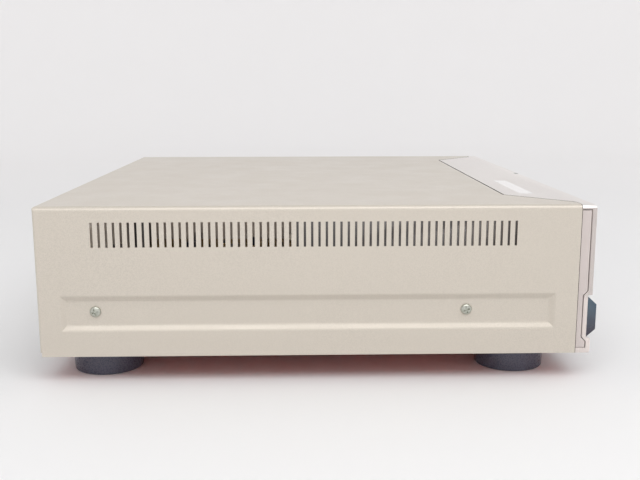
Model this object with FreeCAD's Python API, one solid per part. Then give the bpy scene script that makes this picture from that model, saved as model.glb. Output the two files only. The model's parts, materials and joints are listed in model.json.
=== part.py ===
"""A full-width disc player with a motor-driven tray, drawn as the pieces it comes apart into.

Lengths are in millimetres. While the pieces are drawn, x runs across the cabinet from its middle,
y runs backwards from the front face, and z runs up from the surface that the feet stand on.
save() moves each piece by the same amount, so that the origin ends on that surface, under the
middle of the whole player.
"""
import FreeCAD, Part
import math
import os

V = FreeCAD.Vector

# Cabinet
WIDTH = 420.0
DEPTH = 396.0  # front face to the back of the cover
CABINET_H = 108.5
FOOT_H = 19.5
SHEET = 1.2  # cover, chassis and rear panel
SEAM = 0.3  # gap between neighbouring outer pieces
END_GAP = 0.7  # gap that shows behind the front panel where its moulding ends
TRIM_GAP = 1.2  # gap round the trapezoid that reaches back into the top
SLIP = 0.1  # between sheets that lie against each other

# Folded cover
FOLD_R = 3.5  # outside radius along the two top edges
REAR_FOLD_R = 2.4  # outside radius round the back
REAR_FLANGE = 9.0
REAR_STEP = 1.5  # the lowest stretch of the rear edge is set back by this
REAR_STEP_H = 3.0  # and is this high
VENT_COUNT = 59
VENT_PITCH = 5.144
VENT_W = 1.7
VENT_H = 17.8
VENT_FIRST_Y = 56.8
VENT_TOP = 11.2  # below the cabinet's top

# Panel pressed into each side of the cover
PRESS_FRONT = 26.4
PRESS_BACK = DEPTH - 16.3
PRESS_TOP = 64.0  # below the cabinet's top
PRESS_BOTTOM = 89.7
PRESS_DEPTH = 2.5
PRESS_SLOPE = 4.1  # width of the sloping border
PRESS_BEND_R = 3.0  # radius of its bends
COVER_SCREW_Y = (90.2, DEPTH - 40.5)
SCREW_R = 1.7
SCREW_HEAD_R = 4.0

# Chassis
CHASSIS_RIM = 8.0
CHASSIS_RISE = 1.0  # of its sides over the pressed panels' top
UPSTAND_H = 10.0  # along its front edge
FLOOR_VENT_COUNT = 6
FLOOR_VENT_FIRST_Y = 190.0
FLOOR_VENT_PITCH = 14.0
FLOOR_VENT_X = 145.0
FLOOR_VENT_L = 44.0
FLOOR_VENT_W = 4.0
POST_W = 5.0  # square posts under the boards
POST_IN = 6.0  # from a board's sides and front edge
POST_BACK_IN = 20.0

# Rear panel
REAR_FOOT = 12.0  # folded over the floor, and kept this far from the chassis's sides
REAR_LIFT = 0.2  # its lower edge over the cabinet's
REAR_VENT_COUNT = 10
REAR_VENT_FIRST_X = -110.0
REAR_VENT_PITCH = 7.0
REAR_VENT_W = 2.6
REAR_VENT_DROP = (40.0, 22.0)  # ends of its slots, below the cabinet's top

# Extruded front panel, with heights counted down from the cabinet's top
WALL = 3.05
LIP_DEPTH = 10.3  # top and bottom lips, seen from the side
TOP_LIP_T = 3.45
BOTTOM_LIP_T = 3.8
FRONT_TOP_R = 2.4
FRONT_BOTTOM_R = 1.6
CHANNEL_TOP = 65.5
CHANNEL_BOTTOM = 97.7
CHANNEL_DEPTH = 3.1
CHANNEL_WALL = 3.0  # thickness behind the channel
STEP_TOP = (3.1, -0.2)  # heights over the channel's top where its back wall bends
STEP_BOTTOM = (-2.4, 1.1)  # and over its bottom
CHANNEL_DRAFT = 0.4  # by which the channel narrows towards its back, above and below
TRIM_DEPTH = 52.5  # the trapezoid on top reaches this far back
TRIM_SIDE = 14.6  # its slanting sides start this far from the cabinet's sides
TRIM_CORNER_R = 2.5
TRIM_INNER_R = 5.0

# Smoked bar in the channel
BAR_PROUD = 3.4
BAR_BACK_INSET = 1.0  # its back edges, inside the channel's edges
BAR_TOP_BEVEL = 6.0
BAR_BOTTOM_BEVEL = 5.8
WINDOW_W = 112.0
WINDOW_H = 17.0

# Moulding behind the front panel
SUBFRAME_END = 8.0  # its closed ends
SUBFRAME_WEB = 2.5  # left behind its pockets
SUBFRAME_RIM = 3.0  # round the tray's mouth
POCKET_LOW = 6.5  # its pockets over the channel's top
POCKET_HIGH = 4.0  # and below the top lip
MOUTH_SPARE = 1.0
FRONT_POST_W = 6.0
FRONT_POST_IN = 16.0
FRONT_POST_DROP = (90.0, 14.0)  # below the cabinet's top

# Display behind the bar
TUBE_SPARE = (6.0, 7.0)  # more than the window, across and up
TUBE_GAP = 0.4

# Feet
FOOT_R = 26.8
FOOT_TIP_R = 25.4
FOOT_IN = 41.2  # centre to the side of the cabinet
FOOT_Y = (49.0, DEPTH - 39.9)

# Buttons: name, place across, width, height; all on the level of the tray's front
BUTTONS = (
    ("power_button", -166.0, 16.0, 16.0),
    ("open_button", 94.0, 14.0, 6.0),
    ("stop_button", 113.0, 14.0, 6.0),
    ("pause_button", 132.0, 14.0, 6.0),
    ("play_button", 154.0, 20.0, 10.0),
    ("skip_back_button", 174.0, 12.0, 6.0),
    ("skip_forward_button", 190.0, 12.0, 6.0),
)
BUTTON_PROUD = 1.6
BUTTON_GAP = 0.25
BUTTON_LIP = 1.2
BUTTON_LIP_Y = (0.2, 1.4)  # behind the panel's wall
BUTTON_TRAVEL = 1.2
STEM_W = 4.0
STEM_H = 3.0
SWITCH_REACH = 4.0  # from the front board to the end of the stem
SWITCH_W = 6.0
SWITCH_GAP = 0.3  # beyond the button's travel
LAMP_W = 5.0
LAMP_H = 1.6
LAMP_UP = 15.0  # above the power button
MARK_X = 4.0
MARK_W = 9.0
MARK_Y = (1.2, 5.2)
MARK_H = 1.2

# Tray
DISC_Y = 82.0  # disc centre with the tray shut
DISC_R = 60.0
SMALL_DISC_R = 40.0
TRAY_HALF = 69.0
TRAY_END = 196.0
TRAY_H = 6.0
TRAY_SKIN = 2.5
RECESS_H = 3.5
SMALL_RECESS_H = 1.0
SLOT_HALF = 22.0
SLOT_RIM = 2.0
DISH_RIM = 3.0
DISC_GAP = 0.6
TRAY_SIDE = 3.0
TRAY_TAIL = 2.0
RUNNER_W = 3.5
RUNNER_H = 2.5
FASCIA_W = 152.0
FASCIA_H = 24.0
FASCIA_T = 8.0
FASCIA_GAP = 0.5
FASCIA_PROUD = 1.0
FASCIA_WALL = 2.0
SLIDE_GAP = 0.3

# Loading gears
MODULE = 1.5
PRESSURE = math.radians(20)
BACKLASH = 0.3
RACK_X = -62.0  # pitch line
RACK_H = 4.0
GEAR_Y = 38.0
RACK_TEETH = 34
PINION_TEETH = 12
WHEEL_TEETH = 22
SMALL_TEETH = 10
PULLEY_R = 11.0
MOTOR_PULLEY_R = 4.5
FLANGE_H = 2.2
FLANGE_T = 1.0
BELT_T = 1.2
BELT_GAP = 0.3
MOTOR_X = 12.0
MOTOR_R = 12.0
MOTOR_FLATS = 20.0
MOTOR_H = 18.0
SHAFT_R = 1.0
SHAFT_GAP = 0.05
AXLE_R = 2.0
AXLE_GAP = 0.1

# Loader base
DECK_T = 2.5
RAIL_T = 2.5
LOADER_FRONT = 18.0
LOADER_BACK = 216.0
DECK_DROP = 31.5  # tray top down to the deck's top
DECK_HOLE_HALF = 52.0
DECK_HOLE_Y = (62.5, 203.0)
PILLAR_R = 4.0
PILLAR_X = 66.0
SHELF_W = 9.0  # for the bridge's feet, outside the rails
BEARING_W = 12.0

# Lifting part of the mechanism, drawn lifted and then lowered about its hinge
LIFT_ANGLE = 4.0
HINGE_Y = 196.0
HINGE_DROP = 21.0  # tray top down to the hinge axis
HINGE_R = 2.0
FRAME_HALF = 48.0
FRAME_FRONT = 66.0
FRAME_BACK = 200.0
CAM_TRAVEL = 20.0
CAM_PIN_R = 1.5
CAM_PIN_X = 28.0
CAM_Y = (57.0, 61.0)
ROD_R = 1.5
ROD_X = 26.0
SCREW_X = 35.0
SLED_MOTOR_R = 5.0
PICKUP_INNER = 22.5  # lens to disc centre, nearest
PICKUP_TRAVEL = 36.0
SEAT_LIFT = 3.3  # disc seat over the tray's recess, when lifted
HUB_R = 13.0
SPINDLE_MOTOR_R = 12.0

# Clamp over the disc
BRIDGE_W = 50.0
CLAMP_HOLE_R = 13.0
CLAMP_PAD_R = 12.5
CLAMP_FLANGE_R = 16.0

# Boards and what stands on them
BOARD_T = 1.6
BOARD_UP = 8.0
BOARD_BACK = DEPTH - 8.0
BOARDS = {
    "power_board": ((-200.0, -98.0), 150.0),  # span across, and front edge
    "main_board": ((-92.0, 90.0), 228.0),
    "audio_board": ((98.0, 200.0), 150.0),
}
FRONT_BOARD_Y = 16.0
TRANSFORMER = (-152.0, 92.0)
CAPACITOR = (-124.0, 186.0)
HEAT_SINK = (-180.0, 220.0)

# Sockets on the back: place across and height over the feet's surface
JACK_R = 4.15
JACK_BORE_R = 3.2
JACK_BLOCK = 12.0  # square nose of each moulded block
JACK_OUT = 9.0  # beyond the back of the cover
JACK_COLUMNS = (
    (124.0, (46.0, 66.0)),
    (22.0, (50.0,)),
)
SMALL_SOCKET = (-8.0, 50.0)
OPTICAL = (158.0, 50.0)
OPTICAL_SIZE = 9.0
OPTICAL_WALL = 1.2
INLET = (-160.0, 52.0)
INLET_W = 24.0
INLET_H = 16.5
INLET_LIP = 3.0
INLET_WALL = 1.5
INLET_FLANGE = (10.0, 8.0)  # wider and taller than the mouth
INLET_DEPTH = 16.0
INLET_SLOPE = 4.5  # of the mouth's two upper corners
PIN_SIZE = (2.0, 4.0)
PIN_INSIDE = 3.0  # its tip, inside the panel's rear face
PIN_PLACES = ((-7.0, -1.5), (0.0, 2.0), (7.0, -1.5))
SOCKET_GAP = 0.2

# Worked out from the above
HALF = WIDTH / 2
BOTTOM = FOOT_H
TOP = FOOT_H + CABINET_H
FLOOR = BOTTOM + SHEET
PANEL_BACK = DEPTH - SHEET  # rear face of the rear panel
CHASSIS_HALF = HALF - PRESS_DEPTH - SHEET - SLIP
CHASSIS_SIDE_H = CABINET_H - PRESS_TOP + CHASSIS_RISE
FASCIA_Z = TOP - CHANNEL_TOP / 2
TRAY_TOP = FASCIA_Z + 1.2
TRAY_LOW = TRAY_TOP - TRAY_H
DISC_FLOOR = TRAY_TOP - RECESS_H
RUNNER_LOW = TRAY_TOP - 5.0
RAIL_X = TRAY_HALF + RUNNER_W + 0.5
DECK_TOP = TRAY_TOP - DECK_DROP
HINGE_Z = TRAY_TOP - HINGE_DROP
BOARD_LOW = FLOOR + BOARD_UP
BOARD_TOP = BOARD_LOW + BOARD_T
BAR_MID = TOP - (CHANNEL_TOP + CHANNEL_BOTTOM) / 2
PINION_R = MODULE * PINION_TEETH / 2
WHEEL_R = MODULE * WHEEL_TEETH / 2
SMALL_R = MODULE * SMALL_TEETH / 2
DRIVE_X = RACK_X + PINION_R
PULLEY_X = DRIVE_X + WHEEL_R + SMALL_R
RACK_LOW = TRAY_LOW - RACK_H
WHEEL_Z = (RACK_LOW - 6.0, RACK_LOW - 2.0)
PULLEY_Z = (WHEEL_Z[0] - 9.0, WHEEL_Z[0] - 4.0)
SEAT_Z = DISC_FLOOR + SEAT_LIFT
PLATE_Z = (TRAY_LOW - 9.6, TRAY_LOW - 8.0)
CAM_PIN_Z = HINGE_Z + 2.5
LENS_Y = DISC_Y + PICKUP_INNER
CLAMP_LOW = DISC_FLOOR + 5.0
BRIDGE_Z = TRAY_TOP + 10.0
RAIL_TOP = TRAY_TOP + 2.0
FRONT_Y = (BAR_PROUD - DEPTH - JACK_OUT) / 2  # front face in the saved frame


def block(x, y, z):
    """A box between two values on each axis."""
    return Part.makeBox(x[1] - x[0], y[1] - y[0], z[1] - z[0], V(x[0], y[0], z[0]))


def rod(radius, start, end):
    """A round bar from one point to another."""
    start, end = V(*start), V(*end)
    return Part.makeCylinder(radius, start.distanceToPoint(end), start, end - start)


def hexagonal(radius, start, end):
    """A six-sided bar from one point to another, with its corners at the radius."""
    start, end = V(*start), V(*end)
    corners = [(radius * math.cos(k * math.pi / 3), radius * math.sin(k * math.pi / 3)) for k in range(6)]
    bar = prism("xy", corners, 0, start.distanceToPoint(end))
    bar.Placement = FreeCAD.Placement(start, FreeCAD.Rotation(V(0, 0, 1), end - start))
    return bar


def face(plane, level, corners):
    """A flat face across one axis. A corner with a third number is rounded to that radius."""
    places = {
        "xy": lambda a, b: V(a, b, level),
        "xz": lambda a, b: V(a, level, b),
        "yz": lambda a, b: V(level, a, b),
    }
    points = [V(c[0], c[1], 0) for c in corners]
    stretches = []
    for i, corner in enumerate(corners):
        here = points[i]
        before = (points[i - 1] - here).normalize()
        after = (points[(i + 1) % len(points)] - here).normalize()
        if len(corner) < 3:
            stretches.append((here,))
            continue
        half_angle = before.getAngle(after) / 2
        reach = corner[2] / math.tan(half_angle)
        inwards = (before + after).normalize()
        middle = here + inwards * (corner[2] / math.sin(half_angle) - corner[2])
        stretches.append((here + before * reach, middle, here + after * reach))
    edges = []
    for i, stretch in enumerate(stretches):
        ends = [places[plane](p.x, p.y) for p in stretch]
        if len(ends) == 3:
            edges.append(Part.Arc(*ends).toShape())
        following = stretches[(i + 1) % len(stretches)][0]
        start, end = ends[-1], places[plane](following.x, following.y)
        if start.distanceToPoint(end) > 1e-6:
            edges.append(Part.LineSegment(start, end).toShape())
    return Part.Face(Part.Wire(edges))


def prism(plane, corners, low, high):
    """A straight-sided solid: an outline across one axis, drawn from one level to another."""
    along = {"xy": V(0, 0, 1), "xz": V(0, 1, 0), "yz": V(1, 0, 0)}[plane]
    return face(plane, low, corners).extrude(along * (high - low))


def turned(corners, at=(0, 0, 0), axis=(0, 0, 1)):
    """A solid of revolution. Corners are radius and height, and height runs along the axis."""
    solid = face("xz", 0, corners).revolve(V(0, 0, 0), V(0, 0, 1), 360)
    solid.Placement = FreeCAD.Placement(V(*at), FreeCAD.Rotation(V(0, 0, 1), V(*axis)))
    return solid


def rectangle(a, b, radius=None):
    """The four corners between two values on each of two axes."""
    corners = [(a[0], b[0]), (a[1], b[0]), (a[1], b[1]), (a[0], b[1])]
    if radius:
        corners = [corner + (radius,) for corner in corners]
    return corners


def about(middle, size, grow=0.0):
    """The low and high value of a span, from its middle and size."""
    return (middle - size / 2 - grow, middle + size / 2 + grow)


def joined(*shapes):
    """Shapes that make one solid."""
    return shapes[0].multiFuse(list(shapes[1:])).removeSplitter()


def mirrored(shape):
    """The same shape on the other side of the cabinet."""
    return shape.mirror(V(0, 0, 0), V(1, 0, 0))


def lowered(shape):
    """A shape of the lifting part, turned down about its hinge to where it rests."""
    turned_down = shape.copy()
    turned_down.rotate(V(0, HINGE_Y, HINGE_Z), V(1, 0, 0), LIFT_ANGLE)
    return turned_down


def save(name, *solids):
    """Writes one node, which can hold several separate solids."""
    group = Part.makeCompound([solid.translated(V(0, FRONT_Y, 0)) for solid in solids])
    group.exportStep(f"parts/{name}.step")


def screw(at, inwards, head_r, head_h, shank_r, shank_h):
    """A screw along x, with a round head and a thread-forming shank drawn six-sided."""
    x, y, z = at
    head = rod(head_r, (x - inwards * head_h, y, z), at)
    return joined(head, hexagonal(shank_r, (x - inwards, y, z), (x + inwards * shank_h, y, z)))


# Cabinet


def cabinet_section(inset, low):
    """The cabinet seen from the front, drawn this far inside its outer faces."""
    side, top, fold = HALF - inset, TOP - inset, FOLD_R - inset
    return [(-side, low), (side, low), (side, top, fold), (-side, top, fold)]


def front_edge_plan(seam, gap):
    """The front panel seen from above: a full-width band and a trapezoid behind it, each grown all round."""
    band, back = LIP_DEPTH + seam, TRIM_DEPTH + gap
    side = HALF - TRIM_SIDE + gap * math.sqrt(2) - seam
    inner = side - (back - band)
    return [
        (-HALF - seam, -seam),
        (HALF + seam, -seam),
        (HALF + seam, band),
        (side, band, TRIM_INNER_R - gap),
        (inner, back, TRIM_CORNER_R + gap),
        (-inner, back, TRIM_CORNER_R + gap),
        (-side, band, TRIM_INNER_R - gap),
        (-HALF - seam, band),
    ]


def press_profile():
    """Depth and way inwards of each crease of the pressed panels' borders, with rounded bends."""
    angle = math.atan2(PRESS_DEPTH, PRESS_SLOPE)
    reach = PRESS_BEND_R * math.tan(angle / 2)
    outer = []
    for turn in (0, 0.5, 1):
        inwards = PRESS_BEND_R * math.sin(turn * angle) - reach
        outer.append((PRESS_BEND_R * (1 - math.cos(turn * angle)), inwards))
    inner = [(PRESS_DEPTH - depth, PRESS_SLOPE - inwards) for depth, inwards in reversed(outer)]
    return outer + inner


def pressing(side, skin):
    """The space pressed into one side of the cover, seen from outside or, with a skin, from inside."""
    spread = skin * math.tan(math.atan2(PRESS_DEPTH, PRESS_SLOPE) / 2)
    creases = press_profile()
    wires = []
    for depth, inwards in [(-0.5, creases[0][1])] + creases:
        shrink = inwards - spread
        y = (PRESS_FRONT + shrink, PRESS_BACK - shrink)
        z = (TOP - PRESS_BOTTOM + shrink, TOP - PRESS_TOP - shrink)
        level = side * (HALF - skin - depth)
        wires.append(face("yz", level, rectangle(y, z)).OuterWire)
    return Part.makeLoft(wires, True, True)


def cover_block(inset, low, front):
    """The space inside the cover's outer faces, this far in from them, with its folds rounded."""
    half, top, back = HALF - inset, TOP - inset, DEPTH - inset
    fold = REAR_FOLD_R - inset
    plan = [(-half, front), (half, front), (half, back, fold), (-half, back, fold)]
    side_view = [(front, low), (back, low), (back, top, fold), (front, top)]
    section = prism("xz", cabinet_section(inset, low), front, back)
    return section.common(prism("xy", plan, low, top)).common(prism("yz", side_view, -half, half))


def top_cover():
    """Folded sheet over the top and both sides, with vents, pressed panels and rear flanges."""
    sides = (-1, 1)
    inside = cover_block(SHEET, BOTTOM - 1, -1)
    shell = cover_block(0, BOTTOM, 0).cut(inside.cut([pressing(s, SHEET) for s in sides]))
    flange_inner = HALF - REAR_FLANGE
    gaps = [pressing(s, 0) for s in sides]
    gaps.append(prism("xy", front_edge_plan(SEAM, TRIM_GAP), BOTTOM - 1, TOP + 1))
    back = DEPTH + 1
    middle_z = (BOTTOM - 1, TOP - REAR_FLANGE)
    gaps.append(block((-flange_inner, flange_inner), (DEPTH - 2 * SHEET, back), middle_z))
    gaps.append(block((-HALF - 1, HALF + 1), (DEPTH - REAR_STEP, back), (BOTTOM - 1, BOTTOM + REAR_STEP_H)))
    for s in sides:
        slit = block((-SEAM, SEAM), (PANEL_BACK - SLIP, back), (-0.5, REAR_FLANGE * 1.15))
        slit.rotate(V(0, 0, 0), V(0, 1, 0), 45 * s)
        gaps.append(slit.translated(V(s * flange_inner, 0, TOP - REAR_FLANGE)))
    for i in range(VENT_COUNT):
        y = about(VENT_FIRST_Y + i * VENT_PITCH, VENT_W)
        gaps.append(block((-HALF - 1, HALF + 1), y, (TOP - VENT_TOP - VENT_H, TOP - VENT_TOP)))
    gaps += [screw_hole(s * (HALF - PRESS_DEPTH), y) for s in sides for y in COVER_SCREW_Y]
    return shell.cut(gaps)


def cover_screw_z():
    """Level of the screws in the pressed side panels."""
    return TOP - (PRESS_TOP + PRESS_BOTTOM) / 2 + 1.0


def foot_places():
    """Centres of the four feet."""
    return [(s * (HALF - FOOT_IN), y) for s in (-1, 1) for y in FOOT_Y]


def base_chassis():
    """Plated tray under the boards and the mechanism, with folded sides that the cover screws to."""
    side, rim, high = CHASSIS_HALF, CHASSIS_HALF - CHASSIS_RIM, BOTTOM + CHASSIS_SIDE_H
    half_section = [
        (0, BOTTOM),
        (side, BOTTOM),
        (side, high),
        (rim, high),
        (rim, high - SHEET),
        (side - SHEET, high - SHEET),
        (side - SHEET, FLOOR),
        (0, FLOOR),
    ]
    half = prism("xz", half_section, LIP_DEPTH, DEPTH - 2 * SHEET)
    upstand = block((SHEET - side, side - SHEET), (LIP_DEPTH, LIP_DEPTH + SHEET), (FLOOR, FLOOR + UPSTAND_H))
    holes = []
    for s in (-1, 1):
        for i in range(FLOOR_VENT_COUNT):
            y = about(FLOOR_VENT_FIRST_Y + i * FLOOR_VENT_PITCH, FLOOR_VENT_W)
            holes.append(block(about(s * FLOOR_VENT_X, FLOOR_VENT_L), y, (BOTTOM - 1, FLOOR + 1)))
        for y in COVER_SCREW_Y:
            holes.append(screw_hole(s * side, y))
    return joined(half, mirrored(half), upstand, *board_posts()).cut(holes)


def screw_hole(x, y):
    """The hole that a cover screw passes, in whatever sheet lies round this x."""
    return hexagonal(SCREW_R + 0.2, (x - 3, y, cover_screw_z()), (x + 3, y, cover_screw_z()))


def rear_panel():
    """Sheet across the back with an opening for each socket, and a foot folded over the floor."""
    clear = SHEET + REAR_FOLD_R / 2 + SLIP  # keeps its edges out of the cover's rear folds
    half, high, corner = HALF - clear, TOP - clear, FOLD_R
    y = (PANEL_BACK - SHEET, PANEL_BACK)
    outline = [
        (-half, BOTTOM + REAR_LIFT),
        (half, BOTTOM + REAR_LIFT),
        (half, high - corner),
        (half - corner, high),
        (corner - half, high),
        (-half, high - corner),
    ]
    sheet = prism("xz", outline, *y)
    foot_half = CHASSIS_HALF - REAR_FOOT
    foot = block((-foot_half, foot_half), (y[0] - REAR_FOOT, y[1]), (FLOOR, FLOOR + SHEET))
    openings = [(SMALL_SOCKET, JACK_BLOCK, JACK_BLOCK, 0), (OPTICAL, OPTICAL_SIZE, OPTICAL_SIZE, SEAM)]
    openings.append((INLET, INLET_W + 2 * INLET_WALL, INLET_H + 2 * INLET_WALL, SOCKET_GAP))
    for x, heights in JACK_COLUMNS:
        openings += [((x, z), JACK_BLOCK, JACK_BLOCK, 0) for z in heights]
    through = (y[0] - 1, y[1] + 1)
    holes = []
    for (x, z), wide, tall, gap in openings:
        holes.append(block(about(x, wide, gap), through, about(z, tall, gap)))
    slot_z = tuple(TOP - drop for drop in REAR_VENT_DROP)
    for i in range(REAR_VENT_COUNT):
        holes.append(block(about(REAR_VENT_FIRST_X + i * REAR_VENT_PITCH, REAR_VENT_W), through, slot_z))
    return joined(sheet, foot).cut(holes)


def panel_section():
    """The extruded front seen from the side, without its trapezoid."""
    step = CHANNEL_DEPTH + CHANNEL_WALL
    return [
        (LIP_DEPTH, TOP),
        (0, TOP, FRONT_TOP_R),
        (0, TOP - CHANNEL_TOP),
        (CHANNEL_DEPTH, TOP - CHANNEL_TOP - CHANNEL_DRAFT),
        (CHANNEL_DEPTH, TOP - CHANNEL_BOTTOM + CHANNEL_DRAFT),
        (0, TOP - CHANNEL_BOTTOM),
        (0, BOTTOM, FRONT_BOTTOM_R),
        (LIP_DEPTH, BOTTOM),
        (LIP_DEPTH, BOTTOM + BOTTOM_LIP_T),
        (WALL, BOTTOM + BOTTOM_LIP_T),
        (WALL, TOP - CHANNEL_BOTTOM + STEP_BOTTOM[0]),
        (step, TOP - CHANNEL_BOTTOM + STEP_BOTTOM[1]),
        (step, TOP - CHANNEL_TOP + STEP_TOP[1]),
        (WALL, TOP - CHANNEL_TOP + STEP_TOP[0]),
        (WALL, TOP - TOP_LIP_T),
        (LIP_DEPTH, TOP - TOP_LIP_T),
    ]


def button_outline(x, width, height, grow):
    """A button seen from the front, grown all round: round if it is as wide as it is high."""
    if width == height:
        return Part.Face(Part.Wire(Part.makeCircle(width / 2 + grow, V(x, 0, FASCIA_Z), V(0, 1, 0))))
    return face("xz", 0, rectangle(about(x, width, grow), about(FASCIA_Z, height, grow)))


def button_prism(x, width, height, grow, y):
    """A button's outline, drawn from one depth to another."""
    return button_outline(x, width, height, grow).translated(V(0, y[0], 0)).extrude(V(0, y[1] - y[0], 0))


def lamp_plan(grow):
    """The standby lamp seen from the front, straight above the power button."""
    return about(BUTTONS[0][1], LAMP_W, grow), about(FASCIA_Z + LAMP_UP, LAMP_H, grow)


def mark_space():
    """The place of the small lens let into the top, close to the front edge."""
    return block(about(MARK_X, MARK_W), MARK_Y, (TOP - MARK_H, TOP + 1))


def front_panel_blank():
    """The front extrusion with its trapezoid cut to shape, before any holes."""
    bar = prism("yz", panel_section(), -HALF, HALF)
    trapezoid = prism("xy", front_edge_plan(0, 0), TOP - TOP_LIP_T, TOP)
    trapezoid = trapezoid.common(block((-HALF, HALF), (WALL, TRIM_DEPTH), (TOP - TOP_LIP_T, TOP)))
    envelope = prism("xz", cabinet_section(0, BOTTOM), -1, TRIM_DEPTH + 1)
    return joined(bar, trapezoid).common(envelope)


def front_panel():
    """The front extrusion, with the tray's mouth, the display window and a hole for each button."""
    through = (-1, CHANNEL_DEPTH + CHANNEL_WALL + 1)
    holes = [block(about(0, FASCIA_W, FASCIA_GAP), through, about(FASCIA_Z, FASCIA_H, FASCIA_GAP))]
    holes.append(mark_space())
    holes.append(block(about(0, WINDOW_W), through, about(BAR_MID, WINDOW_H)))
    for name, x, width, height in BUTTONS:
        holes.append(button_prism(x, width, height, BUTTON_GAP, through))
    lamp_x, lamp_z = lamp_plan(SLIP)
    holes.append(block(lamp_x, through, lamp_z))
    return front_panel_blank().cut(holes)


def subframe_section(gap):
    """The moulding behind the front panel seen from the side, this far behind the panel's back."""
    front, back, step = WALL + gap, LIP_DEPTH, CHANNEL_DEPTH + CHANNEL_WALL + gap
    return [
        (front, TOP - TOP_LIP_T - gap),
        (front, TOP - CHANNEL_TOP + STEP_TOP[0]),
        (step, TOP - CHANNEL_TOP + STEP_TOP[1]),
        (step, TOP - CHANNEL_BOTTOM + STEP_BOTTOM[1]),
        (front, TOP - CHANNEL_BOTTOM + STEP_BOTTOM[0]),
        (front, BOTTOM + BOTTOM_LIP_T + SEAM),
        (back, BOTTOM + BOTTOM_LIP_T + SEAM),
        (back, TOP - TOP_LIP_T - gap),
    ]


def front_subframe():
    """Moulding behind the front panel: closed ends, a rim, and guides for the button stems."""
    back = LIP_DEPTH
    end_in = HALF - SUBFRAME_END  # the ends stand further off the panel than the rest
    ends = prism("yz", subframe_section(END_GAP), -HALF, HALF)
    body = joined(ends, prism("yz", subframe_section(SEAM), -end_in, end_in))
    mouth_x = about(0, FASCIA_W, MOUTH_SPARE)
    through = (0, back + 1)
    pocket_z = (TOP - CHANNEL_TOP + POCKET_LOW, TOP - TOP_LIP_T - POCKET_HIGH)
    holes = [block(mouth_x, through, about(FASCIA_Z, FASCIA_H, MOUTH_SPARE))]
    for s in (-1, 1):
        x = sorted((s * (mouth_x[1] + SUBFRAME_RIM), s * end_in))
        holes.append(block(x, (0, back - SUBFRAME_WEB), pocket_z))
    holes.append(block(about(0, WINDOW_W, MOUTH_SPARE), through, about(BAR_MID, WINDOW_H, MOUTH_SPARE)))
    for name, x, width, height in BUTTONS:
        holes.append(block(about(x, STEM_W, SEAM), through, about(FASCIA_Z, STEM_H, SEAM)))
    lamp_x, lamp_z = lamp_plan(SEAM)
    holes.append(block(lamp_x, through, lamp_z))
    posts = []
    for x, z in front_board_posts():
        posts.append(block(about(x, FRONT_POST_W), (back - 1, FRONT_BOARD_Y), about(z, FRONT_POST_W)))
    return joined(body, *posts).cut(holes)


def front_board_posts():
    """Posts that carry the front circuit board."""
    return [(s * (HALF - FRONT_POST_IN), TOP - drop) for s in (-1, 1) for drop in FRONT_POST_DROP]


def display_bar():
    """Smoked bar along the channel, with a bevel above and below."""
    top = TOP - CHANNEL_TOP - BAR_BACK_INSET
    low = TOP - CHANNEL_BOTTOM + BAR_BACK_INSET
    section = [
        (CHANNEL_DEPTH, top),
        (-BAR_PROUD, top - BAR_TOP_BEVEL),
        (-BAR_PROUD, low + BAR_BOTTOM_BEVEL),
        (CHANNEL_DEPTH, low),
    ]
    return prism("yz", section, -HALF, HALF)


def display_tube():
    """Glass display behind the window, resting against the front board."""
    wide, tall = WINDOW_W + TUBE_SPARE[0], WINDOW_H + TUBE_SPARE[1]
    return block(about(0, wide), (LIP_DEPTH + TUBE_GAP, FRONT_BOARD_Y), about(BAR_MID, tall))


def indicator_lenses(panel_blank):
    """The lens in the top edge and the standby lamp with its light guide."""
    mark = mark_space().common(panel_blank)
    lamp_x, lamp_z = lamp_plan(0)
    return mark, block(lamp_x, (-0.3, FRONT_BOARD_Y), lamp_z)


def feet():
    """Four round feet that taper slightly down to the tread."""
    profile = [(0, 0), (FOOT_TIP_R, 0), (FOOT_R, FOOT_H), (0, FOOT_H)]
    return [turned(profile, (x, y, 0)) for x, y in foot_places()]


def cover_screws():
    """Two screws in each side of the cover, through to the chassis."""
    seat = HALF - PRESS_DEPTH
    screws = []
    for s in (-1, 1):
        for y in COVER_SCREW_Y:
            screws.append(screw((s * seat, y, cover_screw_z()), -s, SCREW_HEAD_R, 2.0, SCREW_R, 8.0))
    return screws


def button(x, width, height):
    """A button cap with a lip behind the panel and a stem that reaches for its switch."""
    lip_y = tuple(WALL + depth for depth in BUTTON_LIP_Y)
    cap = button_prism(x, width, height, 0, (-BUTTON_PROUD, lip_y[0]))
    lip = block(about(x, width, BUTTON_LIP), lip_y, about(FASCIA_Z, height, BUTTON_LIP))
    stem = block(about(x, STEM_W), (WALL + 1, FRONT_BOARD_Y - SWITCH_REACH), about(FASCIA_Z, STEM_H))
    return joined(cap, lip, stem)


# Tray and loading gears


def tooth_half_angle(teeth, radius):
    """Half the angle that an involute tooth takes up at a radius."""
    pitch = MODULE * teeth / 2
    base = pitch * math.cos(PRESSURE)
    at_pitch = math.pi / (2 * teeth) - BACKLASH / (4 * pitch) + math.tan(PRESSURE) - PRESSURE
    roll = math.acos(min(base / radius, 1.0))
    return at_pitch - (math.tan(roll) - roll)


def gear_wheel(teeth, x, z, first_tooth):
    """A spur gear. One tooth points in the direction first_tooth, in radians."""
    pitch = MODULE * teeth / 2
    flank = [(r, tooth_half_angle(teeth, r)) for r in (pitch - MODULE, pitch + 0.8 * MODULE)]
    corners = []
    for i in range(teeth):
        middle = first_tooth + 2 * math.pi * i / teeth
        turns = [(r, middle - half) for r, half in flank]
        turns += [(r, middle + half) for r, half in reversed(flank)]
        corners += [(x + r * math.cos(a), GEAR_Y + r * math.sin(a)) for r, a in turns]
    return prism("xy", corners, *z)


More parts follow.
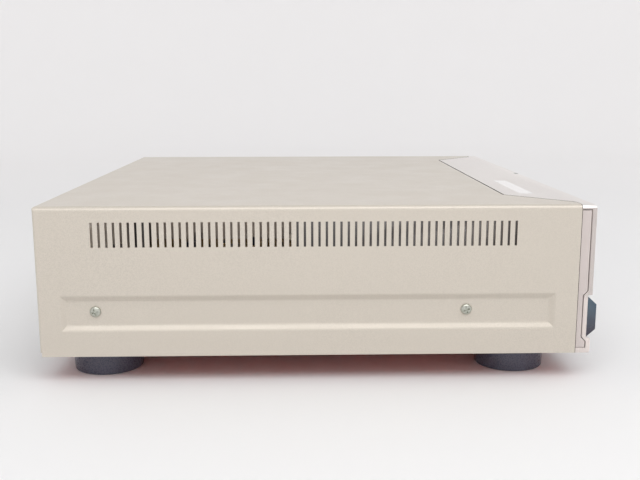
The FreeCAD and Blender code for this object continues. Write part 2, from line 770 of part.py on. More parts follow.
def rack_outline():
    """The rack on the tray's underside, with its teeth towards the middle."""
    pitch = math.pi * MODULE
    tip, root = RACK_X + 0.8 * MODULE, RACK_X - MODULE
    half_tip = pitch / 4 - BACKLASH / 4 - 0.8 * MODULE * math.tan(PRESSURE)
    half_root = pitch / 4 - BACKLASH / 4 + MODULE * math.tan(PRESSURE)
    first = GEAR_Y - 2 * pitch
    start, end = first - pitch / 2, first + (RACK_TEETH - 0.5) * pitch
    corners = [(-TRAY_HALF, start), (root, start)]
    for i in range(RACK_TEETH):
        middle = first + i * pitch
        corners += [(root, middle - half_root), (tip, middle - half_tip)]
        corners += [(tip, middle + half_tip), (root, middle + half_root)]
    return corners + [(root, end), (-TRAY_HALF, end)]


def disc_tray():
    """Moulded tray: a disc dish under a flat skin, runners along its sides and the rack below."""
    y, z = (FASCIA_T, TRAY_END), (TRAY_LOW, TRAY_TOP)
    under_dish = about(0, 2 * DISC_R, DISH_RIM)
    body = [block((-TRAY_HALF, TRAY_HALF), y, (TRAY_TOP - TRAY_SKIN, TRAY_TOP))]
    body.append(block(under_dish, (y[0], DISC_Y + DISC_R + DISH_RIM), z))
    body.append(prism("xy", rack_outline(), RACK_LOW, TRAY_LOW))
    body.append(block((-TRAY_HALF, TRAY_HALF), (TRAY_END - TRAY_TAIL, TRAY_END), z))
    for s in (-1, 1):
        body.append(block(sorted((s * (TRAY_HALF - TRAY_SIDE), s * TRAY_HALF)), y, z))
        body.append(block(sorted((s * SLOT_HALF, s * (SLOT_HALF + SLOT_RIM))), (DISC_Y, TRAY_END), z))
        runner_x = sorted((s * (TRAY_HALF - 1), s * (TRAY_HALF + RUNNER_W)))
        body.append(block(runner_x, (y[0] + 4, y[1]), (RUNNER_LOW, RUNNER_LOW + RUNNER_H)))
    recess = rod(DISC_R + DISC_GAP, (0, DISC_Y, DISC_FLOOR), (0, DISC_Y, TRAY_TOP + 1))
    small_low = (0, DISC_Y, DISC_FLOOR - SMALL_RECESS_H)
    small_recess = rod(SMALL_DISC_R + DISC_GAP, small_low, (0, DISC_Y, TRAY_TOP))
    slot_end = rod(SLOT_HALF, (0, DISC_Y, TRAY_LOW - 1), (0, DISC_Y, TRAY_TOP + 1))
    slot = block((-SLOT_HALF, SLOT_HALF), (DISC_Y, TRAY_END + 1), (TRAY_LOW - 1, TRAY_TOP + 1))
    return joined(*body).cut([recess, small_recess, slot_end, slot])


def tray_fascia():
    """Front of the tray, hollow behind, that closes the mouth in the panel."""
    plate = block(about(0, FASCIA_W), (-FASCIA_PROUD, FASCIA_T), about(FASCIA_Z, FASCIA_H))
    low, high = about(FASCIA_Z, FASCIA_H, -FASCIA_WALL)
    x, y = about(0, FASCIA_W, -FASCIA_WALL), (FASCIA_WALL, FASCIA_T + 1)
    return plate.cut([block(x, y, (low, TRAY_LOW - 1)), block(x, y, (TRAY_TOP + 1, high))])


def axle_bore(x):
    """The hole through a gear for its axle post."""
    return rod(AXLE_R + AXLE_GAP, (x, GEAR_Y, DECK_TOP), (x, GEAR_Y, TRAY_TOP))


def drive_gear():
    """Compound gear: the large wheel below is driven, and the pinion above moves the rack."""
    wheel = gear_wheel(WHEEL_TEETH, DRIVE_X, (WHEEL_Z[0], RACK_LOW - 0.2), 0)
    tooth_gap = math.pi + math.pi / PINION_TEETH
    pinion = gear_wheel(PINION_TEETH, DRIVE_X, (RACK_LOW - 0.2, TRAY_LOW - 0.4), tooth_gap)
    return joined(wheel, pinion).cut(axle_bore(DRIVE_X))


def flanged_pulley(x, radius):
    """A belt pulley with a flange under the belt."""
    low, high = PULLEY_Z
    drum = rod(radius, (x, GEAR_Y, low), (x, GEAR_Y, high))
    return joined(drum, rod(radius + FLANGE_H, (x, GEAR_Y, low), (x, GEAR_Y, low + FLANGE_T)))


def pulley_gear():
    """Belt pulley with the small pinion that drives the large wheel."""
    tooth_gap = math.pi + math.pi / SMALL_TEETH
    pinion = gear_wheel(SMALL_TEETH, PULLEY_X, (PULLEY_Z[1] - 0.5, WHEEL_Z[1]), tooth_gap)
    return joined(flanged_pulley(PULLEY_X, PULLEY_R), pinion).cut(axle_bore(PULLEY_X))


def motor_pulley():
    """Small pulley on the loading motor's shaft."""
    shaft = rod(SHAFT_R, (MOTOR_X, GEAR_Y, DECK_TOP - 4), (MOTOR_X, GEAR_Y, PULLEY_Z[0] + 1))
    return joined(flanged_pulley(MOTOR_X, MOTOR_PULLEY_R), shaft)


def loading_motor():
    """Motor under the deck, with flats on its can and a bore for its shaft."""
    high = DECK_TOP - DECK_T
    low = high - MOTOR_H
    can = rod(MOTOR_R, (MOTOR_X, GEAR_Y, low), (MOTOR_X, GEAR_Y, high))
    can = can.common(block(about(MOTOR_X, 3 * MOTOR_R), about(GEAR_Y, MOTOR_FLATS), (low - 1, high + 1)))
    return can.cut(rod(SHAFT_R + SHAFT_GAP, (MOTOR_X, GEAR_Y, high - 3), (MOTOR_X, GEAR_Y, high + 1)))


def belt_loop(spare, low, high):
    """The closed shape round both pulleys, this far outside their drums."""
    big, small = PULLEY_R + spare, MOTOR_PULLEY_R + spare
    cosine = (big - small) / (MOTOR_X - PULLEY_X)
    sine = math.sqrt(1 - cosine * cosine)
    points = [V(PULLEY_X + big * cosine, GEAR_Y + s * big * sine, low) for s in (1, -1)]
    points += [V(MOTOR_X + small * cosine, GEAR_Y + s * small * sine, low) for s in (-1, 1)]
    edges = [
        Part.Arc(points[0], V(PULLEY_X - big, GEAR_Y, low), points[1]).toShape(),
        Part.LineSegment(points[1], points[2]).toShape(),
        Part.Arc(points[2], V(MOTOR_X + small, GEAR_Y, low), points[3]).toShape(),
        Part.LineSegment(points[3], points[0]).toShape(),
    ]
    return Part.Face(Part.Wire(edges)).extrude(V(0, 0, high - low))


def drive_belt():
    """Square rubber belt round both pulleys, just over their flanges."""
    low = PULLEY_Z[0] + FLANGE_T + SLIDE_GAP
    high = low + 2 * BELT_T
    return belt_loop(BELT_GAP + BELT_T, low, high).cut(belt_loop(BELT_GAP, low - 1, high + 1))


def loader_base():
    """Moulded deck with side rails that carry the tray, axle posts, hinge blocks and cam guides."""
    outer, full, up = RAIL_X + RAIL_T, (LOADER_FRONT, LOADER_BACK), DECK_TOP - 1
    through = (DECK_TOP - DECK_T - 1, DECK_TOP + 1)
    body = [block((-outer, outer), full, (DECK_TOP - DECK_T, DECK_TOP))]
    holes = [block((-DECK_HOLE_HALF, DECK_HOLE_HALF), DECK_HOLE_Y, through)]
    holes.append(block(about(MOTOR_X, 5.0), about(GEAR_Y, 5.0), through))
    for s in (-1, 1):
        body.append(block(sorted((s * RAIL_X, s * outer)), full, (up, RAIL_TOP)))
        ledge_x = sorted((s * (TRAY_HALF + 0.6), s * outer))
        runner_low, runner_top = RUNNER_LOW - SLIDE_GAP, RUNNER_LOW + RUNNER_H + SLIDE_GAP
        body.append(block(ledge_x, full, (runner_low - 2.2, runner_low)))
        for y in (LOADER_FRONT + 2, LOADER_BACK - 20):
            body.append(block(ledge_x, (y, y + 12), (runner_top, TRAY_TOP)))
        shelf_x = sorted((s * (outer - 0.5), s * (outer + SHELF_W)))
        body.append(block(shelf_x, about(DISC_Y, BRIDGE_W), (RAIL_TOP - 2.5, RAIL_TOP)))
        bearing_x = sorted((s * (DECK_HOLE_HALF + 0.4), s * (DECK_HOLE_HALF + 6)))
        body.append(block(bearing_x, about(HINGE_Y, BEARING_W), (up, HINGE_Z + 4)))
        notch_z = (HINGE_Z - HINGE_R - AXLE_GAP, HINGE_Z + 5)
        holes.append(block(bearing_x, about(HINGE_Y, 2 * HINGE_R, AXLE_GAP), notch_z))
        guide_x = about(s * 26.0 - 8.0, 8.0)
        body.append(block(guide_x, (CAM_Y[0] - 7.4, CAM_Y[0] - 4.8), (up, DECK_TOP + 5.5)))
        body.append(block(guide_x, (CAM_Y[0] - 7.4, CAM_Y[0] - 1.5), (DECK_TOP + 3.1, DECK_TOP + 5.5)))
    for x, shoulder, top in ((DRIVE_X, WHEEL_Z[0], TRAY_LOW - 0.5), (PULLEY_X, PULLEY_Z[0], WHEEL_Z[1] + 1)):
        body.append(block(about(x, 7.0), about(GEAR_Y, 7.0), (up, shoulder - 0.3)))
        body.append(rod(AXLE_R, (x, GEAR_Y, up), (x, GEAR_Y, top)))
    return joined(*body).cut(holes)


def loader_pillars():
    """Four hexagonal pillars between the chassis floor and the deck."""
    places = [(s * PILLAR_X, y) for s in (-1, 1) for y in (LOADER_FRONT + 10, LOADER_BACK - 8)]
    return [hexagonal(PILLAR_R, (x, y, FLOOR), (x, y, DECK_TOP - DECK_T)) for x, y in places]


def cam_slide():
    """Sliding plate whose two slanting slots raise and lower the front of the lifting frame."""
    low_pin = lowered_point(CAM_PIN_Z)
    rise = CAM_PIN_Z - low_pin
    plate = block((-56, 38), CAM_Y, (DECK_TOP + 0.3, DECK_TOP + 19.5))
    foot = block((-48, 32), (CAM_Y[0] - 4.5, CAM_Y[0] + 1), (DECK_TOP + 0.3, DECK_TOP + 2.8))
    body = joined(plate, foot)
    wide = CAM_PIN_R + 0.7
    for x in (-CAM_PIN_X, CAM_PIN_X):
        start, end = V(x, 0, low_pin), V(x - CAM_TRAVEL, 0, low_pin + rise)
        along = (end - start).normalize()
        across = V(-along.z, 0, along.x) * wide
        corners = [start - across, end - across, end + across, start + across]
        y = (CAM_Y[0] - 1, CAM_Y[1] + 1)
        body = body.cut(prism("xz", [(c.x, c.z) for c in corners], *y))
        for centre in (start, end):
            body = body.cut(rod(wide, (centre.x, y[0], centre.z), (centre.x, y[1], centre.z)))
    return body


def lowered_point(z):
    """Height at the cam of a point of the lifting frame, once it is lowered."""
    reach = HINGE_Y - sum(CAM_Y) / 2
    angle = math.radians(LIFT_ANGLE)
    return HINGE_Z + (z - HINGE_Z) * math.cos(angle) - reach * math.sin(angle)


# Lifting part: drawn lifted, and lowered by the caller


def damper_places():
    """Rubber mounts at the corners of the steel plate."""
    return [(s * 38.0, y) for s in (-1, 1) for y in (74.0, 188.0)]


def lift_frame():
    """Moulded frame that hinges at the back and rides in the cam slots at the front."""
    z = about(HINGE_Z, 10.0)
    ring = block((-FRAME_HALF, FRAME_HALF), (FRAME_FRONT, FRAME_BACK), z)
    inside = block((4 - FRAME_HALF, FRAME_HALF - 4), (FRAME_FRONT + 3, FRAME_BACK - 3), (z[0] - 1, z[1] + 1))
    ring = ring.cut(inside)
    pads = [block(about(x, 13.0), about(y, 13.0), (z[0], HINGE_Z + 1)) for x, y in damper_places()]
    pins = []
    for s in (-1, 1):
        hinge_x, cam_x = (s * (FRAME_HALF - 1), s * (DECK_HOLE_HALF + 5.6)), s * CAM_PIN_X
        pins.append(rod(HINGE_R, (hinge_x[0], HINGE_Y, HINGE_Z), (hinge_x[1], HINGE_Y, HINGE_Z)))
        pins.append(rod(CAM_PIN_R, (cam_x, CAM_Y[0] + 0.5, CAM_PIN_Z), (cam_x, FRAME_FRONT + 1, CAM_PIN_Z)))
    return joined(ring, *pads, *pins)


def traverse_plate():
    """Steel plate that carries the disc motor, with clips for the pickup's rods bent up from it."""
    plate = block((-43, 43), (68, 194), PLATE_Z)
    through = (PLATE_Z[0] - 1, PLATE_Z[1] + 1)
    opening_y = (DISC_Y + SPINDLE_MOTOR_R + 1, LENS_Y + PICKUP_TRAVEL + 27)
    holes = [block((-31, SCREW_X + 4.5), opening_y, through)]
    motor_y = (LENS_Y + PICKUP_TRAVEL + 20, sled_motor_back() + 0.1)
    holes.append(block(about(SCREW_X, 2 * SLED_MOTOR_R, 0.1), motor_y, through))
    clips = []
    for s in (-1, 1):
        for y in rod_clip_places():
            clips.append(block(about(s * ROD_X, 6.0), y, (PLATE_Z[1] - 0.5, rod_z() + 1.5)))
            notch_z = (rod_z() - ROD_R - 0.02, rod_z() + 3)
            holes.append(block(about(s * ROD_X, 2 * ROD_R, 0.02), (y[0] - 1, y[1] + 1), notch_z))
    return joined(plate, *clips).cut(holes)


def rod_clip_places():
    """Stretches of the guide rods that the clips hold."""
    front, back = DISC_Y + 9, LENS_Y + PICKUP_TRAVEL + 31
    return (front, front + 3.5), (back - 3.5, back)


def sled_motor_back():
    """Rear end of the sled motor."""
    return LENS_Y + PICKUP_TRAVEL + 36


def dampers():
    """Square rubber mounts between the frame and the plate."""
    return [block(about(x, 9.0), about(y, 9.0), (HINGE_Z + 1, PLATE_Z[0])) for x, y in damper_places()]


def rod_z():
    """Height of the pickup's guide rods."""
    return TRAY_LOW - 4.5


def guide_rods():
    """The two polished rods that the pickup slides on."""
    y = (rod_clip_places()[0][0], rod_clip_places()[1][1])
    return [rod(ROD_R, (s * ROD_X, y[0], rod_z()), (s * ROD_X, y[1], rod_z())) for s in (-1, 1)]


def spindle_motor():
    """Disc motor on the plate, with a bore for the turntable's shaft."""
    can = rod(SPINDLE_MOTOR_R, (0, DISC_Y, PLATE_Z[1]), (0, DISC_Y, TRAY_LOW - 2.2))
    return can.cut(rod(1.3, (0, DISC_Y, PLATE_Z[1] + 0.3), (0, DISC_Y, TRAY_LOW)))


def turntable():
    """Disc seat with its centring hub and the shaft in the motor."""
    low = SEAT_Z - 3.2
    shaft = rod(1.2, (0, DISC_Y, PLATE_Z[1] + 0.5), (0, DISC_Y, low + 1))
    seat = rod(HUB_R, (0, DISC_Y, low), (0, DISC_Y, SEAT_Z))
    return joined(seat, shaft, rod(7.3, (0, DISC_Y, SEAT_Z), (0, DISC_Y, SEAT_Z + 1.4)))


def screw_z():
    """Height of the lead screw's axis."""
    return TRAY_LOW - 6.0


def pickup_body():
    """Die-cast sled: a bush round one rod, a fork over the other, and an arm to the lead screw."""
    y, arm_y = (LENS_Y - 8, LENS_Y + 22), (LENS_Y + 3, LENS_Y + 9)
    body = [block((-19.5, 19.5), y, (PLATE_Z[0] - 3.0, TRAY_LOW - 0.7))]
    body.append(block((-ROD_X - 3.2, -19), (y[0] + 2, y[1] - 2), about(rod_z(), 5.6)))
    body.append(block((19, ROD_X + 3.2), arm_y, about(rod_z(), 5.6)))
    body.append(block((19, SCREW_X + 3.0), arm_y, (screw_z() - 3.2, screw_z() + 2.6)))
    holes = [rod(SPINDLE_MOTOR_R + 1.5, (0, DISC_Y, PLATE_Z[0] - 4), (0, DISC_Y, TRAY_LOW))]
    holes.append(rod(ROD_R + 0.08, (-ROD_X, y[0], rod_z()), (-ROD_X, y[1], rod_z())))
    past_y = (arm_y[0] - 1, arm_y[1] + 1)
    holes.append(block((ROD_X - ROD_R - 0.1, SCREW_X + 4), past_y, about(rod_z(), 2 * ROD_R, 0.1)))
    holes.append(block(about(SCREW_X, 2 * ROD_R, 0.1), past_y, (screw_z() - ROD_R - 0.1, screw_z() + 4)))
    holes.append(block(about(0, 18.6), (LENS_Y - 6, LENS_Y + 12), (TRAY_LOW - 4.5, TRAY_LOW)))
    return joined(*body).cut(holes)


def pickup_lens():
    """Lens holder on the sled, with the lens standing a little proud."""
    top = TRAY_LOW + 2.6
    holder = block((-9, 9), (LENS_Y - 5.7, LENS_Y + 11.7), (TRAY_LOW - 4.5, top))
    return joined(holder, rod(3.0, (0, LENS_Y, top - 1), (0, LENS_Y, top + 0.8)))


def screw_ends():
    """Where the lead screw's bearing starts and where its motor's front face is."""
    return DISC_Y + SPINDLE_MOTOR_R - 4.0, sled_motor_back() - 14


def sled_motor():
    """Small motor that turns the lead screw, and the open bearing at the screw's far end."""
    near, face_y = screw_ends()
    can = rod(SLED_MOTOR_R, (SCREW_X, face_y, screw_z()), (SCREW_X, sled_motor_back(), screw_z()))
    can = can.cut(rod(ROD_R + 0.1, (SCREW_X, face_y - 1, screw_z()), (SCREW_X, face_y + 6, screw_z())))
    bearing = block(about(SCREW_X, 6.0), (near, near + 4), (PLATE_Z[1], screw_z() + 2.5))
    notch_z = (screw_z() - ROD_R - 0.1, screw_z() + 3)
    return can, bearing.cut(block(about(SCREW_X, 2 * ROD_R, 0.1), (near - 1, near + 5), notch_z))


def lead_screw():
    """Lead screw from the bearing into the motor."""
    near, face_y = screw_ends()
    return rod(ROD_R, (SCREW_X, near, screw_z()), (SCREW_X, face_y + 5, screw_z()))


# Clamp


def clamp_bridge():
    """Folded steel bridge over the tray, with the hole that the clamp hangs in."""
    y = about(DISC_Y, BRIDGE_W)
    leg, outer = RAIL_X - 7, RAIL_X + RAIL_T + 8
    low, high = RAIL_TOP, BRIDGE_Z
    right = [(leg, high), (leg, low), (outer, low), (outer, low + SHEET)]
    right += [(leg + SHEET, low + SHEET), (leg + SHEET, high + SHEET)]
    left = [(-x, z) for x, z in reversed(right)]
    strip = prism("xz", right + left, *y)
    folds = ((y[0], y[0] + SHEET), (y[1] - SHEET, y[1]))
    ribs = [block((4 - leg, leg - 4), fold, (high, high + 6)) for fold in folds]
    return joined(strip, *ribs).cut(rod(CLAMP_HOLE_R, (0, DISC_Y, high - 1), (0, DISC_Y, high + 3)))


def clamper():
    """Puck that presses the disc on the turntable, hanging by its flange in the bridge."""
    flange = BRIDGE_Z + SHEET + 0.2
    puck = rod(CLAMP_PAD_R, (0, DISC_Y, CLAMP_LOW), (0, DISC_Y, flange))
    return joined(puck, rod(CLAMP_FLANGE_R, (0, DISC_Y, flange), (0, DISC_Y, flange + 1.5)))


# Boards


def board_posts():
    """Short posts under the corners of the three flat boards."""
    posts = []
    for across, front in BOARDS.values():
        for x in (across[0] + POST_IN, across[1] - POST_IN):
            for y in (front + POST_IN, BOARD_BACK - POST_BACK_IN):
                posts.append(block(about(x, POST_W), about(y, POST_W), (FLOOR, BOARD_LOW)))
    return posts


def front_board():
    """Upright board behind the front, cut away where the tray passes."""
    half, notch = CHASSIS_HALF - CHASSIS_RIM - 2.0, RAIL_X + RAIL_T + 3
    low, high, notch_z = FLOOR + 12, TOP - 8, DECK_TOP - 4
    corners = [(-half, low), (half, low), (half, high), (notch, high)]
    corners += [(notch, notch_z), (-notch, notch_z), (-notch, high), (-half, high)]
    return prism("xz", corners, FRONT_BOARD_Y, FRONT_BOARD_Y + BOARD_T)


def key_switches():
    """A push switch on the front board behind each button."""
    y = (FRONT_BOARD_Y - SWITCH_REACH + BUTTON_TRAVEL + SWITCH_GAP, FRONT_BOARD_Y)
    return [block(about(x, SWITCH_W), y, about(FASCIA_Z, SWITCH_W)) for name, x, width, height in BUTTONS]


def power_transformer():
    """Laminated core with its winding, standing on the chassis floor."""
    x, y = TRANSFORMER
    flange = block(about(x, 84.0), about(y, 24.0), (FLOOR, FLOOR + 1.2))
    core = block(about(x, 66.0), about(y, 24.0), (FLOOR + 1.2, FLOOR + 56))
    winding = block(about(x, 42.0), about(y, 52.0), (FLOOR + 10, FLOOR + 47))
    return joined(flange, core, winding)


def filter_capacitor():
    """Electrolytic capacitor on the power board."""
    x, y = CAPACITOR
    return rod(11.0, (x, y, BOARD_TOP), (x, y, BOARD_TOP + 35))


def heat_sink():
    """Finned aluminium heat sink on the power board."""
    x, y = HEAT_SINK
    web, fin, pitch, count = 3.0, 1.6, 7.0, 8
    body = [block((x, x + web), (y, y + (count - 1) * pitch + fin), (BOARD_TOP, BOARD_TOP + 35))]
    for i in range(count):
        near = y + i * pitch
        body.append(block((x, x + 16.0), (near, near + fin), (BOARD_TOP, BOARD_TOP + 35)))
    return joined(*body)


def main_chips():
    """The larger chips on the main board."""
    places = ((-50.0, 270.0, 28.0), (0.0, 262.0, 28.0), (48.0, 278.0, 20.0), (-20.0, 320.0, 14.0))
    return [block(about(x, size), about(y, size), (BOARD_TOP, BOARD_TOP + 2.6)) for x, y, size in places]


# Sockets


def socket_block(x, heights):
    """A moulded block on its board, with a square nose in the rear panel at each of the heights."""
    back = PANEL_BACK - SHEET
    top = max(heights) + JACK_BLOCK / 2 + 1
    body = [block(about(x, JACK_BLOCK + 2), (back - 13, back), (BOARD_TOP, top))]
    nose_y = (back - 1, PANEL_BACK + 0.6)
    wide = JACK_BLOCK - 2 * SOCKET_GAP
    body += [block(about(x, wide), nose_y, about(z, wide)) for z in heights]
    return joined(*body)


def jack_barrels():
    """The plated barrel of each phono socket, with its blind bore."""
    start = PANEL_BACK + 0.6
    long = DEPTH + JACK_OUT - start
    corners = [(0, 0), (JACK_R, 0), (JACK_R, long), (JACK_BORE_R, long), (JACK_BORE_R, 1.0), (0, 1.0)]
    return [turned(corners, (x, start, z), (0, 1, 0)) for x, heights in JACK_COLUMNS for z in heights]


def small_socket():
    """Round video socket in its block on the main board."""
    x, z = SMALL_SOCKET
    return socket_block(x, (z,)).cut(rod(4.6, (x, PANEL_BACK - 6, z), (x, PANEL_BACK + 2, z)))


def optical_socket():
    """Square optical socket, open at the back, with its door behind the mouth."""
    x, z = OPTICAL
    back, wide = PANEL_BACK - SHEET, OPTICAL_SIZE - 2 * OPTICAL_WALL
    body = block(about(x, OPTICAL_SIZE + 3), (back - 12, back), (BOARD_TOP, z + OPTICAL_SIZE / 2 + 1.5))
    nose = block(about(x, OPTICAL_SIZE), (back - 1, PANEL_BACK + 0.8), about(z, OPTICAL_SIZE))
    well = block(about(x, wide), (back - 10.8, PANEL_BACK + 2), about(z, wide))
    return joined(body, nose).cut(well)


def optical_door():
    """Spring door that closes the optical socket and swings inwards."""
    x, z = OPTICAL
    wide = OPTICAL_SIZE - 2 * OPTICAL_WALL - 0.5
    return block(about(x, wide), (PANEL_BACK - 1.4, PANEL_BACK - 0.4), about(z, wide))


def mains_inlet():
    """Inlet housing: a recessed socket behind a flange."""
    x, z = INLET
    (left, right), (low, high) = about(x, INLET_W), about(z, INLET_H)
    mouth = [(left, low), (right, low), (right, high - INLET_SLOPE)]
    mouth += [(right - INLET_SLOPE, high), (left + INLET_SLOPE, high), (left, high - INLET_SLOPE)]
    start, end = PANEL_BACK - INLET_DEPTH, PANEL_BACK + INLET_LIP
    body_x, body_z = about(x, INLET_W, INLET_WALL), about(z, INLET_H, INLET_WALL)
    body = block(body_x, (start - 6, PANEL_BACK + 0.5), body_z)
    flange_x, flange_z = about(x, INLET_W + INLET_FLANGE[0]), about(z, INLET_H + INLET_FLANGE[1])
    flange = block(flange_x, (PANEL_BACK, end), flange_z)
    return joined(body, flange).cut(prism("xz", mouth, start, end + 1))


def inlet_pins():
    """The three flat contacts in the inlet."""
    x, z = INLET
    pins = []
    y = (PANEL_BACK - INLET_DEPTH, PANEL_BACK - PIN_INSIDE)
    for dx, dz in PIN_PLACES:
        pins.append(block(about(x + dx, PIN_SIZE[0]), y, about(z + dz, PIN_SIZE[1])))
    return pins


def build():
    """Draws and writes every piece."""
    os.makedirs("parts", exist_ok=True)
    save("top_cover", top_cover())
    save("base_chassis", base_chassis())
    save("rear_panel", rear_panel())
    save("front_panel", front_panel())
    save("front_subframe", front_subframe())
    save("display_bar", display_bar())
    save("display_tube", display_tube())
    save("indicator_lenses", *indicator_lenses(front_panel_blank()))
    save("feet", *feet())
    save("cover_screws", *cover_screws())
    for name, x, width, height in BUTTONS:
        save(name, button(x, width, height))
    save("disc_tray", disc_tray())
    save("tray_fascia", tray_fascia())
    save("drive_gear", drive_gear())
    save("pulley_gear", pulley_gear())
    save("motor_pulley", motor_pulley())
    save("loading_motor", loading_motor())
    save("drive_belt", drive_belt())
    save("loader_base", loader_base())
    save("loader_pillars", *loader_pillars())
    save("cam_slide", cam_slide())
    save("lift_frame", lowered(lift_frame()))
    save("traverse_plate", lowered(traverse_plate()))
    save("dampers", *[lowered(s) for s in dampers()])
    save("guide_rods", *[lowered(s) for s in guide_rods()])
    save("spindle_motor", lowered(spindle_motor()))
    save("turntable", lowered(turntable()))
    save("pickup_body", lowered(pickup_body()))
    save("pickup_lens", lowered(pickup_lens()))
    save("sled_motor", *[lowered(s) for s in sled_motor()])
    save("lead_screw", lowered(lead_screw()))
    save("clamp_bridge", clamp_bridge())
    save("clamper", clamper())
    for name, (across, front) in BOARDS.items():
        save(name, block(across, (front, BOARD_BACK), (BOARD_LOW, BOARD_TOP)))
    save("front_board", front_board())
    save("key_switches", *key_switches())
    save("power_transformer", power_transformer())
    save("filter_capacitor", filter_capacitor())
    save("heat_sink", heat_sink())
    save("main_chips", *main_chips())
    save("jack_housings", *[socket_block(x, heights) for x, heights in JACK_COLUMNS])
    save("jack_barrels", *jack_barrels())
    save("small_socket", small_socket())
    save("optical_socket", optical_socket())
    save("optical_door", optical_door())
    save("mains_inlet", mains_inlet())
    save("inlet_pins", *inlet_pins())


build()
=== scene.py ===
"""Looks for a full-width disc player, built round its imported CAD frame."""
import json
import math

import bmesh
import bpy
from mathutils import Matrix, Vector


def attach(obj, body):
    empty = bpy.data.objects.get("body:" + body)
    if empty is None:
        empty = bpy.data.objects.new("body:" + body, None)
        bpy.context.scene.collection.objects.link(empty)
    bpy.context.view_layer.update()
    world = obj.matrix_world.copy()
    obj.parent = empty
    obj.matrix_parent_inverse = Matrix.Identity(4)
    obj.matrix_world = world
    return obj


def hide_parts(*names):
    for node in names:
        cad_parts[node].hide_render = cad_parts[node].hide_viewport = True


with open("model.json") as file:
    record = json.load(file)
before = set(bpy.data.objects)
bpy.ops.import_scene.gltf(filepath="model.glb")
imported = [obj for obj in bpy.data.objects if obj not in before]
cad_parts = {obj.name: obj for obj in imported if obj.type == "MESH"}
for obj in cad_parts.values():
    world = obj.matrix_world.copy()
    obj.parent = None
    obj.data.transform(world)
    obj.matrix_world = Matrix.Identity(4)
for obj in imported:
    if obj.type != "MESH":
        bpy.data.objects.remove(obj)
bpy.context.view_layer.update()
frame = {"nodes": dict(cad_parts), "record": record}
nodes = frame["nodes"]

# Places are written in millimetres: x across from the middle, y back from the front face, z up.
MM = 0.001
FRONT_Y = -200.8  # where the front face is in the frame
TOP = 128.0
CHASSIS_FLOOR = 20.7  # upper face of the chassis's floor
HALF = 210.0  # of the cover's width
DEPTH = 396.0  # of the cover
PANEL_BACK = 394.8  # outer face of the rear panel
SOCKET_BACK = 395.4  # outer face of the socket housings
INLET_BACK = 397.8  # outer face of the mains inlet
PRESS_X, PRESS_Z = 207.5, 52.15  # floor and middle of the panel pressed in each side
FASCIA_Z = 95.25  # middle of the tray front and the buttons
POWER_X = -166.0  # middle of the power button
SIGN_Y = -1.67  # face of the signs, just proud of the buttons
BAR_MID = 46.4
TUBE_Y = 10.6  # face of the display's segments
BOARD_TOP = 30.3
DISC_Y = 82.0
LENS_Y = 104.5
SEAT_Z = 96.25  # of the disc on its turntable, with the mechanism lifted
LENS_TOP = 93.85  # of the pickup, likewise
HINGE = (0, 196.0, 75.45)
LIFT_ANGLE = 4.0  # by which the mechanism rests below its lifted place
SHARP = math.radians(35)  # from which an edge is sharp


def at(x, y, z):
    """A place in millimetres as a point in the frame, in metres."""
    return Vector((x, y + FRONT_Y, z)) * MM


def about(middle, size):
    """The two ends of a size round its middle."""
    return middle - size / 2, middle + size / 2


# Materials


def linear(red, green, blue):
    """A colour given in 8-bit steps as it looks on a screen, for a shader."""
    channels = [c / 255 for c in (red, green, blue)]
    return [c / 12.92 if c <= 0.04045 else ((c + 0.055) / 1.055) ** 2.4 for c in channels] + [1.0]


